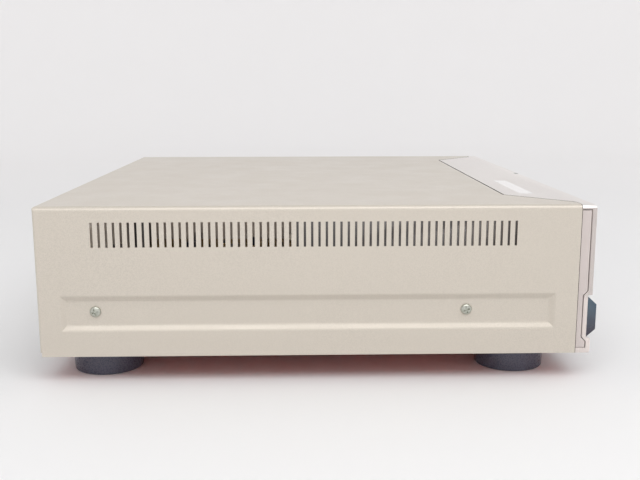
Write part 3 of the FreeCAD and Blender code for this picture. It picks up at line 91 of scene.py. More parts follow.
class Surface:
    """A node material, made of a base shader and procedural detail on top."""

    def __init__(self, name, colour, metallic=0.0, roughness=0.5, **sockets):
        self.material = bpy.data.materials.new(name)
        self.material.use_nodes = True
        self.tree = self.material.node_tree
        self.shader = self.tree.nodes["Principled BSDF"]
        self.colour = colour
        self.set("Base Color", colour)
        self.set("Metallic", metallic)
        self.set("Roughness", roughness)
        for socket, value in sockets.items():
            self.set(socket.replace("_", " ").title().replace("Ior", "IOR"), value)
        self.relief = None

    def set(self, socket, value):
        """Gives one of the shader's own sockets a plain value."""
        self.shader.inputs[socket].default_value = value

    def node(self, kind, **inputs):
        """A new node with these inputs."""
        made = self.tree.nodes.new(kind)
        for key, value in inputs.items():
            made.inputs[key.replace("_", " ")].default_value = value
        return made

    def link(self, source, target):
        """Joins an output to an input."""
        self.tree.links.new(source, target)

    def coordinates(self, stretch):
        """Places on the piece itself, stretched along each axis."""
        mapping = self.node("ShaderNodeMapping", Scale=stretch)
        self.link(self.node("ShaderNodeTexCoord").outputs["Object"], mapping.inputs["Vector"])
        return mapping.outputs["Vector"]

    def noise(self, per_metre, detail=3.0, stretch=(1, 1, 1)):
        """Soft noise, about this many times in a metre."""
        texture = self.node("ShaderNodeTexNoise", Scale=per_metre, Detail=detail)
        self.link(self.coordinates(stretch), texture.inputs["Vector"])
        return texture.outputs["Fac"]

    def cells(self, per_metre, stretch=(1, 1, 1)):
        """The distance from the middle of each cell."""
        texture = self.node("ShaderNodeTexVoronoi", Scale=per_metre)
        self.link(self.coordinates(stretch), texture.inputs["Vector"])
        return texture.outputs["Distance"]

    def height(self):
        """The height of the place, in metres."""
        split = self.node("ShaderNodeSeparateXYZ")
        self.link(self.coordinates((1, 1, 1)), split.inputs["Vector"])
        return split.outputs["Z"]

    def distance(self):
        """The distance of the place from the origin, in metres."""
        length = self.tree.nodes.new("ShaderNodeVectorMath")
        length.operation = "LENGTH"
        self.link(self.coordinates((1, 1, 1)), length.inputs[0])
        return length.outputs["Value"]

    def grain(self, per_metre):
        """One number at random for each cell."""
        texture = self.node("ShaderNodeTexVoronoi", Scale=per_metre)
        self.link(self.coordinates((1, 1, 1)), texture.inputs["Vector"])
        split = self.node("ShaderNodeSeparateColor")
        self.link(texture.outputs["Color"], split.inputs["Color"])
        return split.outputs["Red"]

    def spread(self, factor, low, high, start=0.3, end=0.7):
        """Maps the middle of a texture's range on another range."""
        ramp = self.tree.nodes.new("ShaderNodeMapRange")
        for key, value in (("From Min", start), ("From Max", end), ("To Min", low), ("To Max", high)):
            ramp.inputs[key].default_value = value
        self.link(factor, ramp.inputs["Value"])
        return ramp.outputs["Result"]

    def shade(self, factor, other, amount=1.0, start=0.3, end=0.7):
        """Lets the colour run towards another one where the factor is high."""
        mix = self.tree.nodes.new("ShaderNodeMix")
        mix.data_type = "RGBA"
        sockets = {s.identifier: s for s in mix.inputs}
        linked = self.shader.inputs["Base Color"].links
        if linked:
            self.link(linked[0].from_socket, sockets["A_Color"])
        else:
            sockets["A_Color"].default_value = self.colour
        sockets["B_Color"].default_value = other
        self.link(self.spread(factor, 0.0, amount, start, end), sockets["Factor_Float"])
        result = {s.identifier: s for s in mix.outputs}["Result_Color"]
        self.link(result, self.shader.inputs["Base Color"])
        return self

    def rough(self, factor, low, high, start=0.3, end=0.7):
        """Lets the roughness follow the factor between two values."""
        self.link(self.spread(factor, low, high, start, end), self.shader.inputs["Roughness"])
        return self

    def bump(self, factor, depth, strength=1.0):
        """Adds relief of this depth in metres on top of what there is."""
        node = self.node("ShaderNodeBump", Strength=strength, Distance=depth)
        self.link(factor, node.inputs["Height"])
        if self.relief:
            self.link(self.relief, node.inputs["Normal"])
        self.relief = node.outputs["Normal"]
        self.link(self.relief, self.shader.inputs["Normal"])
        return self


def scaled(colour, factor):
    """The same colour, darker or lighter."""
    return [min(c * factor, 1.0) for c in colour[:3]] + [1.0]


def sheet_paint(name, colour, flake=0.09):
    """Metallic paint on steel, with flake, a fine orange peel and slight unevenness."""
    s = Surface(name, colour, metallic=0.2, roughness=0.32)
    s.shade(s.grain(1500), scaled(colour, 1 - flake), 1.0, 0.2, 0.9)
    s.shade(s.noise(9, 2), scaled(colour, 0.97), 0.8)
    s.rough(s.noise(35, 3), 0.28, 0.37)
    return s.bump(s.noise(1400, 2), 0.00004, 0.35).material


def brushed(name, colour, roughness=0.34, depth=0.00002, dark=0.93, stretch=(0.02, 1, 1)):
    """Metal brushed along one axis."""
    s = Surface(name, colour, metallic=0.85, roughness=roughness, anisotropic=0.4)
    line = s.noise(2600, 2, stretch)
    s.shade(line, scaled(colour, dark))
    s.shade(s.noise(12, 2), scaled(colour, 0.96))
    s.rough(line, roughness - 0.05, roughness + 0.07)
    return s.bump(line, depth, 0.4).material


def sawn_aluminium_with_painted_shade():
    """The cut ends of the front extrusion, paler beside the bar and below; the grey above the bar is
    painted shade.
    """
    s = Surface("sawn aluminium with painted shade", linear(226, 216, 211), metallic=0.3, roughness=0.5)
    # Painted shade: the end turns darker grey above the bar, by height alone.
    s.shade(s.height(), linear(196, 188, 184), 1.0, 0.059, 0.064)
    s.shade(s.noise(900, 2, (1, 1, 0.1)), linear(200, 191, 187), 0.4)
    return s.bump(s.noise(1500, 2), 0.00001, 0.3).material


def moulded(name, colour, roughness=0.45, grain=900, depth=0.00003, tone=0.9, metallic=0.0):
    """A moulding or casting with a spark-eroded grain."""
    s = Surface(name, colour, metallic, roughness)
    s.shade(s.noise(60, 3), scaled(colour, tone))
    s.rough(s.noise(grain, 2), roughness - 0.06, roughness + 0.08)
    return s.bump(s.noise(grain, 2), depth, 0.5).material


def plated(name, colour, roughness, smudge=0.12):
    """Polished or plated metal with faint smudges."""
    s = Surface(name, colour, metallic=1.0, roughness=roughness)
    s.shade(s.noise(30, 3), scaled(colour, 0.9))
    s.rough(s.noise(80, 4), roughness, roughness + smudge)
    return s.bump(s.noise(500, 2), 0.00001, 0.3).material


def copper_plate():
    """Copper-flashed steel, a little tarnished."""
    colour = linear(222, 86, 58)
    s = Surface("copper plate", colour, metallic=0.75, roughness=0.42)
    s.shade(s.noise(18, 5), linear(176, 64, 44), 0.7)
    s.rough(s.noise(60, 3), 0.32, 0.5)
    return s.bump(s.noise(900, 2), 0.00002, 0.3).material


def smoked_acrylic():
    """Smoked acrylic with a polished surface; its blue-grey above and purple-brown below are painted
    reflection.
    """
    s = Surface("smoked acrylic with painted reflection", linear(58, 48, 66), roughness=0.12, ior=1.49, transmission_weight=0.3)
    s.set("Coat Weight", 0.4)
    # Painted reflection: blue-grey towards the top of the bar, purple-brown towards its foot.
    s.shade(s.height(), linear(76, 96, 112), 1.0, 0.034, 0.054)
    s.shade(s.noise(40, 2), linear(92, 110, 122), 0.7, 0.4, 0.8)
    s.rough(s.noise(120, 3), 0.08, 0.2)
    return s.bump(s.noise(200, 1), 0.00001, 0.2).material


def display_glass():
    """The face of the display tube, with its fine grid."""
    s = Surface("display glass", linear(30, 46, 48), roughness=0.1)
    s.shade(s.cells(1500, (1, 0, 0.35)), linear(52, 74, 74), 0.6, 0.1, 0.5)
    s.rough(s.noise(100, 2), 0.06, 0.16)
    return s.material


def laminate():
    """Paper laminate board with its printed copper showing faintly through."""
    colour = linear(178, 148, 86)
    s = Surface("board laminate", colour, roughness=0.5)
    s.shade(s.cells(220, (1, 1, 1)), linear(140, 122, 66), 0.7, 0.2, 0.5)
    s.shade(s.noise(400, 2, (1, 6, 1)), scaled(colour, 0.85), 0.5)
    return s.bump(s.noise(700, 2), 0.00002, 0.4).material


def can_sleeve():
    """Shrunk plastic sleeve of a capacitor."""
    s = Surface("can sleeve", linear(38, 42, 58), roughness=0.3)
    s.shade(s.noise(240, 2), linear(30, 33, 46))
    return s.bump(s.noise(400, 2), 0.00002, 0.4).material


def winding_tape():
    """Yellow tape wound round the coil."""
    colour = linear(206, 172, 84)
    s = Surface("winding tape", colour, roughness=0.4)
    s.shade(s.noise(300, 2, (1, 1, 12)), scaled(colour, 0.8), 0.8)
    s.rough(s.noise(200, 3), 0.3, 0.5)
    return s.bump(s.noise(600, 2, (1, 1, 6)), 0.00005, 0.5).material


def paper():
    """Blank matte label paper."""
    s = Surface("paper", linear(235, 233, 232), roughness=0.75)
    s.shade(s.noise(1500, 4), linear(229, 227, 227), 0.6)
    return s.bump(s.noise(2500, 3), 0.00002, 0.4).material


CHAMPAGNE = linear(206, 198, 186)
MATERIALS = {
    "cover_paint": sheet_paint("cover paint", CHAMPAGNE),
    "copper_plate": copper_plate(),
    "rear_paint": sheet_paint("rear paint", linear(176, 174, 170), 0.08),
    "front_aluminium": brushed("front aluminium", linear(244, 240, 237), 0.42),
    "front_plastic": moulded("front plastic", linear(200, 190, 186), 0.4, tone=0.96),
    "smoked_acrylic": smoked_acrylic(),
    "display_glass": display_glass(),
    "lens_plastic": moulded("lens plastic", linear(120, 116, 114), 0.2, 300, 0.00001),
    "foot_plastic": moulded("foot plastic", linear(80, 81, 95), 0.28, 1200, 0.00001),
    "zinc": plated("zinc", linear(192, 194, 184), 0.3),
    "button_plastic": moulded("button plastic", linear(214, 208, 200), 0.3, 1200, 0.00001, 0.96),
    "tray_plastic": moulded("tray plastic", linear(58, 58, 62), 0.5, 1100, 0.00004),
    "acetal": moulded("acetal", linear(232, 228, 214), 0.35, 700, 0.00001, 0.94),
    "black_plastic": moulded("black plastic", linear(40, 40, 43), 0.42),
    "belt_rubber": moulded("belt rubber", linear(34, 34, 35), 0.75, 500, 0.00004),
    "pulley_brass": plated("pulley brass", linear(212, 180, 110), 0.25),
    "motor_steel": brushed("motor steel", linear(190, 192, 194), 0.3),
    "plated_steel": brushed("plated steel", linear(196, 198, 200), 0.3, stretch=(1, 0.05, 1)),
    "rod_steel": plated("rod steel", linear(214, 216, 218), 0.1, 0.08),
    "sled_casting": moulded("sled casting", linear(150, 150, 152), 0.4, 500, 0.00006, metallic=0.7),
    "lens_holder": moulded("lens holder", linear(36, 36, 40), 0.25, 800, 0.00001),
    "board_laminate": laminate(),
    "winding_tape": winding_tape(),
    "sink_aluminium": brushed("sink aluminium", linear(182, 184, 186), 0.35, stretch=(1, 1, 0.03)),
    "chip_epoxy": moulded("chip epoxy", linear(38, 38, 40), 0.5, 1500, 0.00002),
    "jack_plating": plated("jack plating", linear(216, 214, 206), 0.18),
}
DETAIL = {
    # Painted shade: a dark brown for the walls of gaps and vent slots.
    "gap_shade": moulded("gap shade", linear(66, 52, 44), 0.7),
    "raw_steel": moulded("raw steel", linear(170, 163, 156), 0.45, 900, 0.00001, 0.85, 0.4),
    "sawn_aluminium_with_painted_shade": sawn_aluminium_with_painted_shade(),
    "mark": moulded("mark", linear(136, 134, 132), 0.4, 300, 0.00001),
    "standby_lamp": moulded("standby lamp", linear(120, 26, 24), 0.2, 300, 0.00001),
    "print": moulded("print", linear(74, 72, 72), 0.5, 900, 0.00001),
    "segment": moulded("segment", linear(120, 136, 128), 0.4, 900, 0.00001),
    "jack_white": moulded("jack white", linear(228, 226, 220), 0.4, 900, 0.00001, 0.96),
    "jack_red": moulded("jack red", linear(178, 34, 34), 0.4, 900, 0.00001),
    "jack_yellow": moulded("jack yellow", linear(226, 184, 40), 0.4, 900, 0.00001),
    "screw_black": plated("screw black", linear(64, 63, 62), 0.35),
    "can_sleeve": can_sleeve(),
    "ceramic": moulded("ceramic", linear(196, 174, 132), 0.5, 700, 0.00002),
    "film_box": moulded("film box", linear(86, 80, 74), 0.35, 800, 0.00001),
    "lens_glass": moulded("lens glass", linear(92, 100, 148), 0.05, 200, 0.000005),
}


# CAD nodes


def repaint(target, material, chosen):
    """Gives another material to the faces that a test on their middle and normal picks."""
    target.data.materials.append(material)
    number = len(target.data.materials) - 1
    for polygon in target.data.polygons:
        x, y, z = polygon.center / MM
        if chosen(x, y - FRONT_Y, z, polygon.normal):
            polygon.material_index = number


def soften(node, width):
    """Rounds the edges of a CAD node by this many millimetres."""
    part = nodes[node]
    part.data.polygons.foreach_set("use_smooth", [True] * len(part.data.polygons))
    part.modifiers.new("join corners", "WELD").merge_threshold = 0.001 * MM
    flats = part.modifiers.new("flat faces", "DECIMATE")
    flats.decimate_type, flats.angle_limit, flats.delimit = "DISSOLVE", math.radians(1), {"MATERIAL"}
    edges = part.modifiers.new("edges", "BEVEL")
    edges.width, edges.segments, edges.harden_normals = width * MM, 2, True
    edges.limit_method, edges.angle_limit = "ANGLE", SHARP


for part in frame["record"]["subparts"]:
    mesh = nodes[part["node"]].data
    mesh.materials.clear()
    mesh.materials.append(MATERIALS[part["material_slot"]])
    mesh.polygons.foreach_set("material_index", [0] * len(mesh.polygons))

EDGES = {
    "front_panel": 0.35, "display_bar": 0.3, "tray_fascia": 0.4, "disc_tray": 0.3, "mains_inlet": 0.5,
    "jack_housings": 0.3, "small_socket": 0.3, "optical_socket": 0.3, "jack_barrels": 0.15,
    "optical_door": 0.15, "loader_base": 0.2, "clamper": 0.3, "turntable": 0.25, "pickup_body": 0.3,
    "pickup_lens": 0.25, "heat_sink": 0.15, "main_chips": 0.25, "front_subframe": 0.2,
    "cam_slide": 0.2, "motor_pulley": 0.15, "key_switches": 0.2, "inlet_pins": 0.3,
}
EDGES.update({f"{word}_button": 0.4 for word in ("power", "open", "stop", "pause", "play")})
EDGES.update({f"skip_{word}_button": 0.4 for word in ("back", "forward")})
for node, width in EDGES.items():
    soften(node, width)


# Mesh helpers


class Shape:
    """The mesh of one piece while it is made."""

    def __init__(self):
        self.bm = bmesh.new()

    def box(self, x, y, z, bevel=0.0, segments=2):
        """A block between two values on each axis, with rounded edges."""
        low, high = at(x[0], y[0], z[0]), at(x[1], y[1], z[1])
        place = Matrix.Translation((low + high) / 2) @ Matrix.Diagonal([*(high - low), 1])
        made = bmesh.ops.create_cube(self.bm, size=1, matrix=place)["verts"]
        if bevel:
            edges = list(dict.fromkeys(e for v in made for e in v.link_edges))
            bmesh.ops.bevel(self.bm, geom=edges, offset=bevel * MM, segments=segments,
                            profile=0.5, affect="EDGES")
        return self

    def lathe(self, profile, centre, axis=(0, 0, 1), steps=48):
        """A turned form. The profile is radius and height along the axis, closed or from axis to axis."""
        turn = Vector(axis).to_track_quat("Z", "Y").to_matrix()
        origin = at(*centre)
        rings = []
        closed = profile[0] == profile[-1]
        for radius, height in profile[:-1] if closed else profile:
            count = 1 if radius == 0 else steps
            ring = []
            for i in range(count):
                a = 2 * math.pi * i / steps
                local = Vector((radius * math.cos(a), radius * math.sin(a), height)) * MM
                ring.append(self.bm.verts.new(origin + turn @ local))
            rings.append(ring)
        if closed:
            rings.append(rings[0])
        for low, high in zip(rings, rings[1:]):
            for i in range(steps):
                j = (i + 1) % steps
                corners = [low[i % len(low)], low[j % len(low)], high[j % len(high)], high[i % len(high)]]
                unique = list(dict.fromkeys(corners))
                if len(unique) > 2:
                    self.bm.faces.new(unique)
        return self

    def slab(self, points, along):
        """A flat outline drawn out along a vector, all in millimetres."""
        low = [self.bm.verts.new(at(*p)) for p in points]
        high = [self.bm.verts.new(v.co + Vector(along) * MM) for v in low]
        self.bm.faces.new(low)
        self.bm.faces.new(list(reversed(high)))
        count = len(low)
        for i in range(count):
            j = (i + 1) % count
            self.bm.faces.new([low[j], low[i], high[i], high[j]])
        return self

    def lowered(self):
        """Turns the shape, drawn on the lifted mechanism, down to where that rests."""
        turn = Matrix.Rotation(math.radians(LIFT_ANGLE), 3, "X")
        bmesh.ops.rotate(self.bm, cent=at(*HINGE), matrix=turn, verts=self.bm.verts)
        return self

    def loose(self, name):
        """Turns the shape into an object."""
        bmesh.ops.recalc_face_normals(self.bm, faces=self.bm.faces)
        mesh = bpy.data.meshes.new(name)
        self.bm.to_mesh(mesh)
        self.bm.free()
        mesh.polygons.foreach_set("use_smooth", [True] * len(mesh.polygons))
        mesh.set_sharp_from_angle(angle=SHARP)
        made = bpy.data.objects.new(name, mesh)
        bpy.context.scene.collection.objects.link(made)
        return made

    def piece(self, name, body, material, slot=None, replaces=()):
        """Turns the shape into a named piece that rides on a body."""
        made = self.loose(name)
        made.data.materials.append(material)
        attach(made, body)
        for node in replaces:
            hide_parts(node)
        return made


def rectangle(x, z):
    """The corners between two values on each axis."""
    return [(x[0], z[0]), (x[1], z[0]), (x[1], z[1]), (x[0], z[1])]


def rounded(x, z, radius, steps=5):
    """A rectangle between two values on each axis, with round corners."""
    points = []
    corners = ((x[1], z[1], 0), (x[0], z[1], 90), (x[0], z[0], 180), (x[1], z[0], 270))
    for cx, cz, start in corners:
        mx = cx - radius if cx == x[1] else cx + radius
        mz = cz - radius if cz == z[1] else cz + radius
        for k in range(steps + 1):
            a = math.radians(start + 90 * k / steps)
            points.append((mx + radius * math.cos(a), mz + radius * math.sin(a)))
    return points


def arc(inner, outer, start, end, steps=28):
    """Part of a flat ring between two angles in degrees."""
    turns = [math.radians(start + (end - start) * k / steps) for k in range(steps + 1)]
    points = [(outer * math.cos(a), outer * math.sin(a)) for a in turns]
    return points + [(inner * math.cos(a), inner * math.sin(a)) for a in reversed(turns)]


# Outside


FOOT_PLACES = {
    "foot_front_left": (-168.8, 49.0),
    "foot_front_right": (168.8, 49.0),
    "foot_back_left": (-168.8, 356.1),
    "foot_back_right": (168.8, 356.1),
}
FOOT_PROFILE = [
    (0, 4.0), (4.5, 4.0), (5.0, 3.5), (5.0, 1.4), (17.0, 1.4), (17.5, 0.9), (17.5, 0.3), (17.9, 0.0),
    (24.6, 0.0), (25.1, 0.2), (25.4, 0.6), (25.5, 1.2), (26.5, 15.6), (26.8, 16.4), (26.8, 18.9),
    (26.4, 19.4), (0, 19.45),
]


def feet():
    """Four turned feet with a recessed tread, in place of the CAD's plain tapers."""
    for name, (x, y) in FOOT_PLACES.items():
        Shape().lathe(FOOT_PROFILE, (x, y, 0), steps=96).piece(
            name, "root", MATERIALS["foot_plastic"], "foot_plastic", ["feet"])


def screws(name, places, outwards, radius, height, material, slot=None, replaces=()):
    """Pan heads with a cross recess, at these places along one direction."""
    profile = [(0, height), (radius * 0.5, height * 0.97), (radius * 0.78, height * 0.8),
               (radius * 0.95, height * 0.5), (radius, height * 0.2), (radius, -0.3), (0, -0.3)]
    recess_length, recess_width, recess_depth = 1.2 * radius, 0.34 * radius, 1.6 * height
    heads, cross = Shape(), Shape()
    turn = Vector(outwards).to_track_quat("Z", "Y").to_matrix().to_4x4()
    for i, place in enumerate(places):
        heads.lathe(profile, place, outwards, 32)
        top = Matrix.Translation(at(*place) + Vector(outwards) * height * MM) @ turn
        angle = 18 + 47 * i  # no two heads in a row stand at the same one
        twist = Matrix.Rotation(math.radians(angle), 4, "Z")
        for width, length in ((recess_length, recess_width), (recess_width, recess_length)):
            scale = Matrix.Diagonal((width * MM, length * MM, recess_depth * MM, 1))
            bmesh.ops.create_cube(cross.bm, size=1, matrix=top @ twist @ scale)
    made = heads.piece(name, "root", material, slot, replaces)
    cutter = cross.loose("recesses")
    cut = made.modifiers.new("recesses", "BOOLEAN")
    cut.operation, cut.solver, cut.use_self, cut.object = "DIFFERENCE", "EXACT", True, cutter
    bpy.context.view_layer.update()
    carved = made.evaluated_get(bpy.context.evaluated_depsgraph_get())
    made.data = bpy.data.meshes.new_from_object(carved)
    made.modifiers.clear()
    made.data.set_sharp_from_angle(angle=SHARP)
    bpy.data.objects.remove(cutter)


def cover_screws():
    """The four screws of the cover, with their recesses."""
    for side, word in ((-1, "left"), (1, "right")):
        for y, end in ((90.2, "front"), (355.5, "back")):
            place = (side * PRESS_X, y, PRESS_Z)
            screws(f"cover_screw_{end}_{word}", [place], (side, 0, 0), 4.0, 2.0,
                   MATERIALS["zinc"], "zinc", ["cover_screws"])


def label():
    """Blank paper label stuck on the trapezoid."""
    outline = [(x, y, TOP + 0.02) for x, y in rounded((-147.0, -57.0), (28.2, 38.9), 1.0)]
    Shape().slab(outline, (0, 0, -0.1)).piece("blank_label", "root", paper())


# Outlines of the signs, round the middle of each button: body, place across, outlines
LEFT_ARROW = [(-1.2, 0), (0.9, 1.2), (0.9, -1.2)]
SIGNS = (
    ("power_button", POWER_X, (arc(2.3, 2.8, 120, 420), rectangle((-0.25, 0.25), (0.9, 3.3)))),
    ("open_button", 94.0, ([(-1.6, -0.2), (1.6, -0.2), (0, 1.5)], rectangle((-1.6, 1.6), (-1.3, -0.7)))),
    ("stop_button", 113.0, (rectangle((-1.2, 1.2), (-1.2, 1.2)),)),
    ("pause_button", 132.0, (rectangle((-1.2, -0.4), (-1.3, 1.3)), rectangle((0.4, 1.2), (-1.3, 1.3)))),
    ("play_button", 154.0, ([(-1.5, -1.9), (-1.5, 1.9), (2.0, 0)],)),
    ("skip_back_button", 174.0, (LEFT_ARROW, rectangle((-1.8, -1.3), (-1.2, 1.2)))),
    ("skip_forward_button", 190.0, ([(-x, z) for x, z in LEFT_ARROW], rectangle((1.3, 1.8), (-1.2, 1.2)))),
)


def signs():
    """The usual sign of its function on each button, and a bright ring round the power button."""
    for body, middle, outlines in SIGNS:
        sign = Shape()
        for outline in outlines:
            sign.slab([(middle + x, SIGN_Y, FASCIA_Z + z) for x, z in outline], (0, 0.15, 0))
        sign.piece(body.replace("button", "sign"), body, DETAIL["print"])
    ring = [(8.35, -0.3), (8.35, 0.35), (8.7, 0.6), (9.3, 0.6), (9.6, 0.3), (9.6, -0.3), (8.35, -0.3)]
    Shape().lathe(ring, (POWER_X, 0, FASCIA_Z), (0, -1, 0), 96).piece(
        "power_ring", "root", MATERIALS["jack_plating"], "jack_plating")


def display():
    """Unlit segments on the face of the display tube."""
    segments = Shape()
    stroke, slant = 0.8, 0.12
    bars = [((-2.2, 2.2), about(z, stroke)) for z in (-4.6, 0, 4.6)]
    bars += [(about(x, stroke), z) for x in (-2.8, 2.8) for z in ((-4.1, -0.5), (0.5, 4.1))]
    for digit in range(7):
        middle = -36.0 + 9.0 * digit + 2.5 * (digit // 2)
        for x, z in bars:
            outline = rectangle((middle + x[0], middle + x[1]), z)
            segments.slab([(x + slant * z, TUBE_Y, BAR_MID + z) for x, z in outline], (0, 0.2, 0))
    for middle in range(-50, 51, 10):
        outline = rectangle(about(middle, 6), (-7.6, -6.6))
        segments.slab([(x, TUBE_Y, BAR_MID + z) for x, z in outline], (0, 0.2, 0))
    segments.piece("display_segments", "root", DETAIL["segment"])


JACKS = (
    ("audio_jack_upper", 124.0, 66.0, "jack_white"),
    ("audio_jack_lower", 124.0, 46.0, "jack_red"),
    ("video_jack", 22.0, 50.0, "jack_yellow"),
)


def back():
    """Coloured collars and inserts of the phono sockets, the round socket's pins, and screws."""
    insert = [(1.5, 1.2), (3.15, 1.2), (3.15, 7.4), (2.9, 7.7), (1.9, 7.7), (1.5, 7.4), (1.5, 1.2)]
    collar = [(4.2, 0.1), (5.6, 0.1), (5.6, 1.1), (5.2, 1.5), (4.2, 1.5), (4.2, 0.1)]
    contact = [(0, 1.1), (1.45, 1.1), (1.45, 6.6), (1.2, 6.9), (0.9, 6.9), (0.9, 2.0), (0, 2.0)]
    contacts = Shape()
    for name, x, z, colour in JACKS:
        place = (x, SOCKET_BACK, z)
        Shape().lathe(insert, place, (0, 1, 0)).piece(f"{name}_insert", "root", DETAIL[colour])
        Shape().lathe(collar, place, (0, 1, 0)).piece(f"{name}_collar", "root", DETAIL[colour])
        contacts.lathe(contact, place, (0, 1, 0), 32)
    pin, pin_root = [(0, 0), (0.45, 0), (0.45, 4.6), (0.3, 4.8), (0, 4.8)], 388.6
    for x, z in ((-9.6, 51.4), (-6.4, 51.4), (-9.0, 48.6), (-7.0, 48.6)):
        contacts.lathe(pin, (x, pin_root, z), (0, 1, 0), 16)
    contacts.box((-8.9, -7.1), (pin_root, pin_root + 4.8), (45.9, 46.8), 0.2)
    contacts.piece("socket_contacts", "root", MATERIALS["jack_plating"], "jack_plating")
    folds = [(x, DEPTH, 123.4) for x in (-150.0, 0.0, 150.0)]
    screws("rear_cover_screws", folds, (0, 1, 0), 3.0, 1.8, DETAIL["screw_black"])
    sheet = [(124.0, 56.0), (22.0, 61.5), (-8.0, 61.5), (158.0, 60.5)]
    sheet += [(x, 25.5) for x in (-185.0, -70.0, 70.0, 185.0)]
    places = [(x, PANEL_BACK, z) for x, z in sheet]
    screws("rear_panel_screws", places, (0, 1, 0), 2.6, 1.6, DETAIL["screw_black"])
    ears = [(x, INLET_BACK, 52.0) for x in (-174.6, -145.4)]
    screws("inlet_screws", ears, (0, 1, 0), 1.9, 1.0, DETAIL["screw_black"])


# Inside


def transformer():
    """Laminated core in a strap with feet, round a taped winding, in place of the CAD's plain blocks."""
    x, y, floor = -152.0, 92.0, CHASSIS_FLOOR
    core = Shape()
    for i in range(13):
        front = y - 11.8 + 1.8 * i
        core.box(about(x, 63.6), (front, front + 1.6), (floor + 1.2, floor + 54.6), 0.12, 1)
        core.box(about(x, 63.2), (front + 1.5, front + 1.9), (floor + 1.4, floor + 54.4))
    core.piece("transformer_core", "root", MATERIALS["motor_steel"], "motor_steel", ["power_transformer"])
    across = about(y, 16.0)
    strap = Shape().box(about(x, 84.0), across, (floor, floor + 1.1), 0.4)
    strap.box(about(x, 66.0), across, (floor + 54.6, floor + 56.0), 0.5)
    nut = [(0, 2.2), (2.2, 1.9), (2.8, 1.0), (2.8, 0), (0, 0)]
    for side in (-1, 1):
        strap.box(about(x + side * 32.4, 1.2), across, (floor, floor + 56.0), 0.3)
        strap.lathe(nut, (x + side * 38.0, y, floor + 1.1))
    strap.piece("transformer_strap", "root", MATERIALS["zinc"], "zinc")
    coil = Shape().box(about(x, 41.0), about(y, 51.2), (floor + 12.0, floor + 45.0), 6.0, 5)
    coil.piece("transformer_winding", "root", MATERIALS["winding_tape"], "winding_tape")
    former = Shape()
    for z in (10.0, 45.4):
        former.box(about(x, 42.0), about(y, 52.0), (floor + z, floor + z + 1.6), 0.4)
    former.piece("transformer_former", "root", MATERIALS["black_plastic"], "black_plastic")


def can(shape, x, y, radius, height):
    """An electrolytic capacitor: a sleeve with a groove near its foot and a rolled top edge."""
    profile = [(0, 0), (radius * 0.94, 0), (radius, 0.4), (radius, 1.6)]
    profile += [(radius * 0.92, 2.1), (radius, 2.6), (radius, height - 0.6), (radius * 0.95, height)]
    profile += [(radius * 0.84, height), (radius * 0.8, height - 0.3), (0, height - 0.3)]
    shape.lathe(profile, (x, y, BOARD_TOP), steps=32)


# What stands on the boards: x, y, then radius and height, or width, depth and height. A resistor row
# has only its place, and a quad is one of the CAD's larger chips, which gets its legs.
CANS = (
    (-124, 214, 6.5, 20), (-112, 228, 5, 16), (-124, 238, 8, 25), (-108, 250, 5, 16), (-150, 262, 6.5, 20),
    (-134, 280, 8, 25), (-116, 290, 5, 12), (-80, 244, 4, 11), (-72, 300, 3.2, 11), (62, 244, 5, 12),
    (76, 252, 3.2, 11), (72, 318, 4, 11), (30, 340, 3.2, 9), (-40, 350, 4, 11), (112, 170, 6.5, 20),
    (130, 176, 6.5, 20), (112, 200, 4, 11), (124, 204, 4, 11), (176, 186, 5, 16), (150, 250, 3.2, 9),
    (162, 262, 3.2, 9), (118, 330, 5, 12), (134, 330, 5, 12), (180, 330, 4, 11),
)
FILMS = (
    (-186, 168, 18, 8, 14), (-160, 166, 18, 8, 14), (-188, 190, 13, 6, 11), (-186, 300, 13, 6, 11),
    (-160, 310, 10, 5, 8), (110, 232, 10, 5, 8), (124, 232, 10, 5, 8), (138, 232, 10, 5, 8),
    (112, 280, 7, 3, 7), (124, 280, 7, 3, 7), (136, 280, 7, 3, 7),
)
SOCKETS = (
    (-140, 378, 22, 6, 9), (-112, 378, 12, 6, 9), (-82, 262, 6, 24, 8), (-30, 236, 30, 6, 6),
    (20, 236, 26, 6, 6), (82, 290, 6, 24, 8), (106, 258, 6, 20, 8), (-106, 158, 14, 6, 9),
    (186, 220, 6, 18, 8),
)
CHIPS = (
    (-50, 306, 10, 6), (40, 318, 16, 8), (70, 284, 8, 5), (0, 300, 8, 5), (150, 290, 16, 8),
    (150, 316, 10, 6), (176, 300, 10, 6), (150, 214, 16, 8),
)
RESISTORS = (
    (-176, 340), (-150, 336), (-70, 352), (-20, 352), (50, 356), (116, 306), (170, 240), (140, 192),
)
QUADS = ((-50.0, 270.0, 28.0), (0.0, 262.0, 28.0), (48.0, 278.0, 20.0), (-20.0, 320.0, 14.0))
SOCKET_PITCH = 2.5
LEG_PITCH = 1.27
RESISTOR_PITCH = 3.6


def on_board(low, high):
    """Two heights above the boards."""
    return BOARD_TOP + low, BOARD_TOP + high


def board_socket(sockets, pins, x, y, wide, deep, high):
    """An open socket with a row of pins along its longer side."""
    (x0, x1), (y0, y1) = about(x, wide), about(y, deep)
    sockets.box((x0, x1), (y0, y1), on_board(0, 1.5), 0.2, 1)
    for walls in (((x0, x0 + 1), (y0, y1)), ((x1 - 1, x1), (y0, y1)),
                  ((x0, x1), (y0, y0 + 1)), ((x0, x1), (y1 - 1, y1))):
        sockets.box(*walls, on_board(0, high), 0.2, 1)
    along = max(wide, deep)
    for k in range(int(along / SOCKET_PITCH)):
        step = (k + 0.5) * SOCKET_PITCH - along / 2
        a, b = (x + step, y) if wide > deep else (x, y + step)
        pins.box(about(a, 0.6), about(b, 0.6), on_board(1, high - 1.5))


def board_chip(chips, pins, x, y, wide, deep):
    """A chip with legs along two sides."""
    chips.box(about(x, wide), about(y, deep), on_board(0.3, 2.4), 0.25)
    for k in range(int(wide / LEG_PITCH)):
        leg = x - wide / 2 + 0.6 + LEG_PITCH * k
        pins.box(about(leg, 0.4), about(y, deep + 2.4), on_board(0, 0.5))


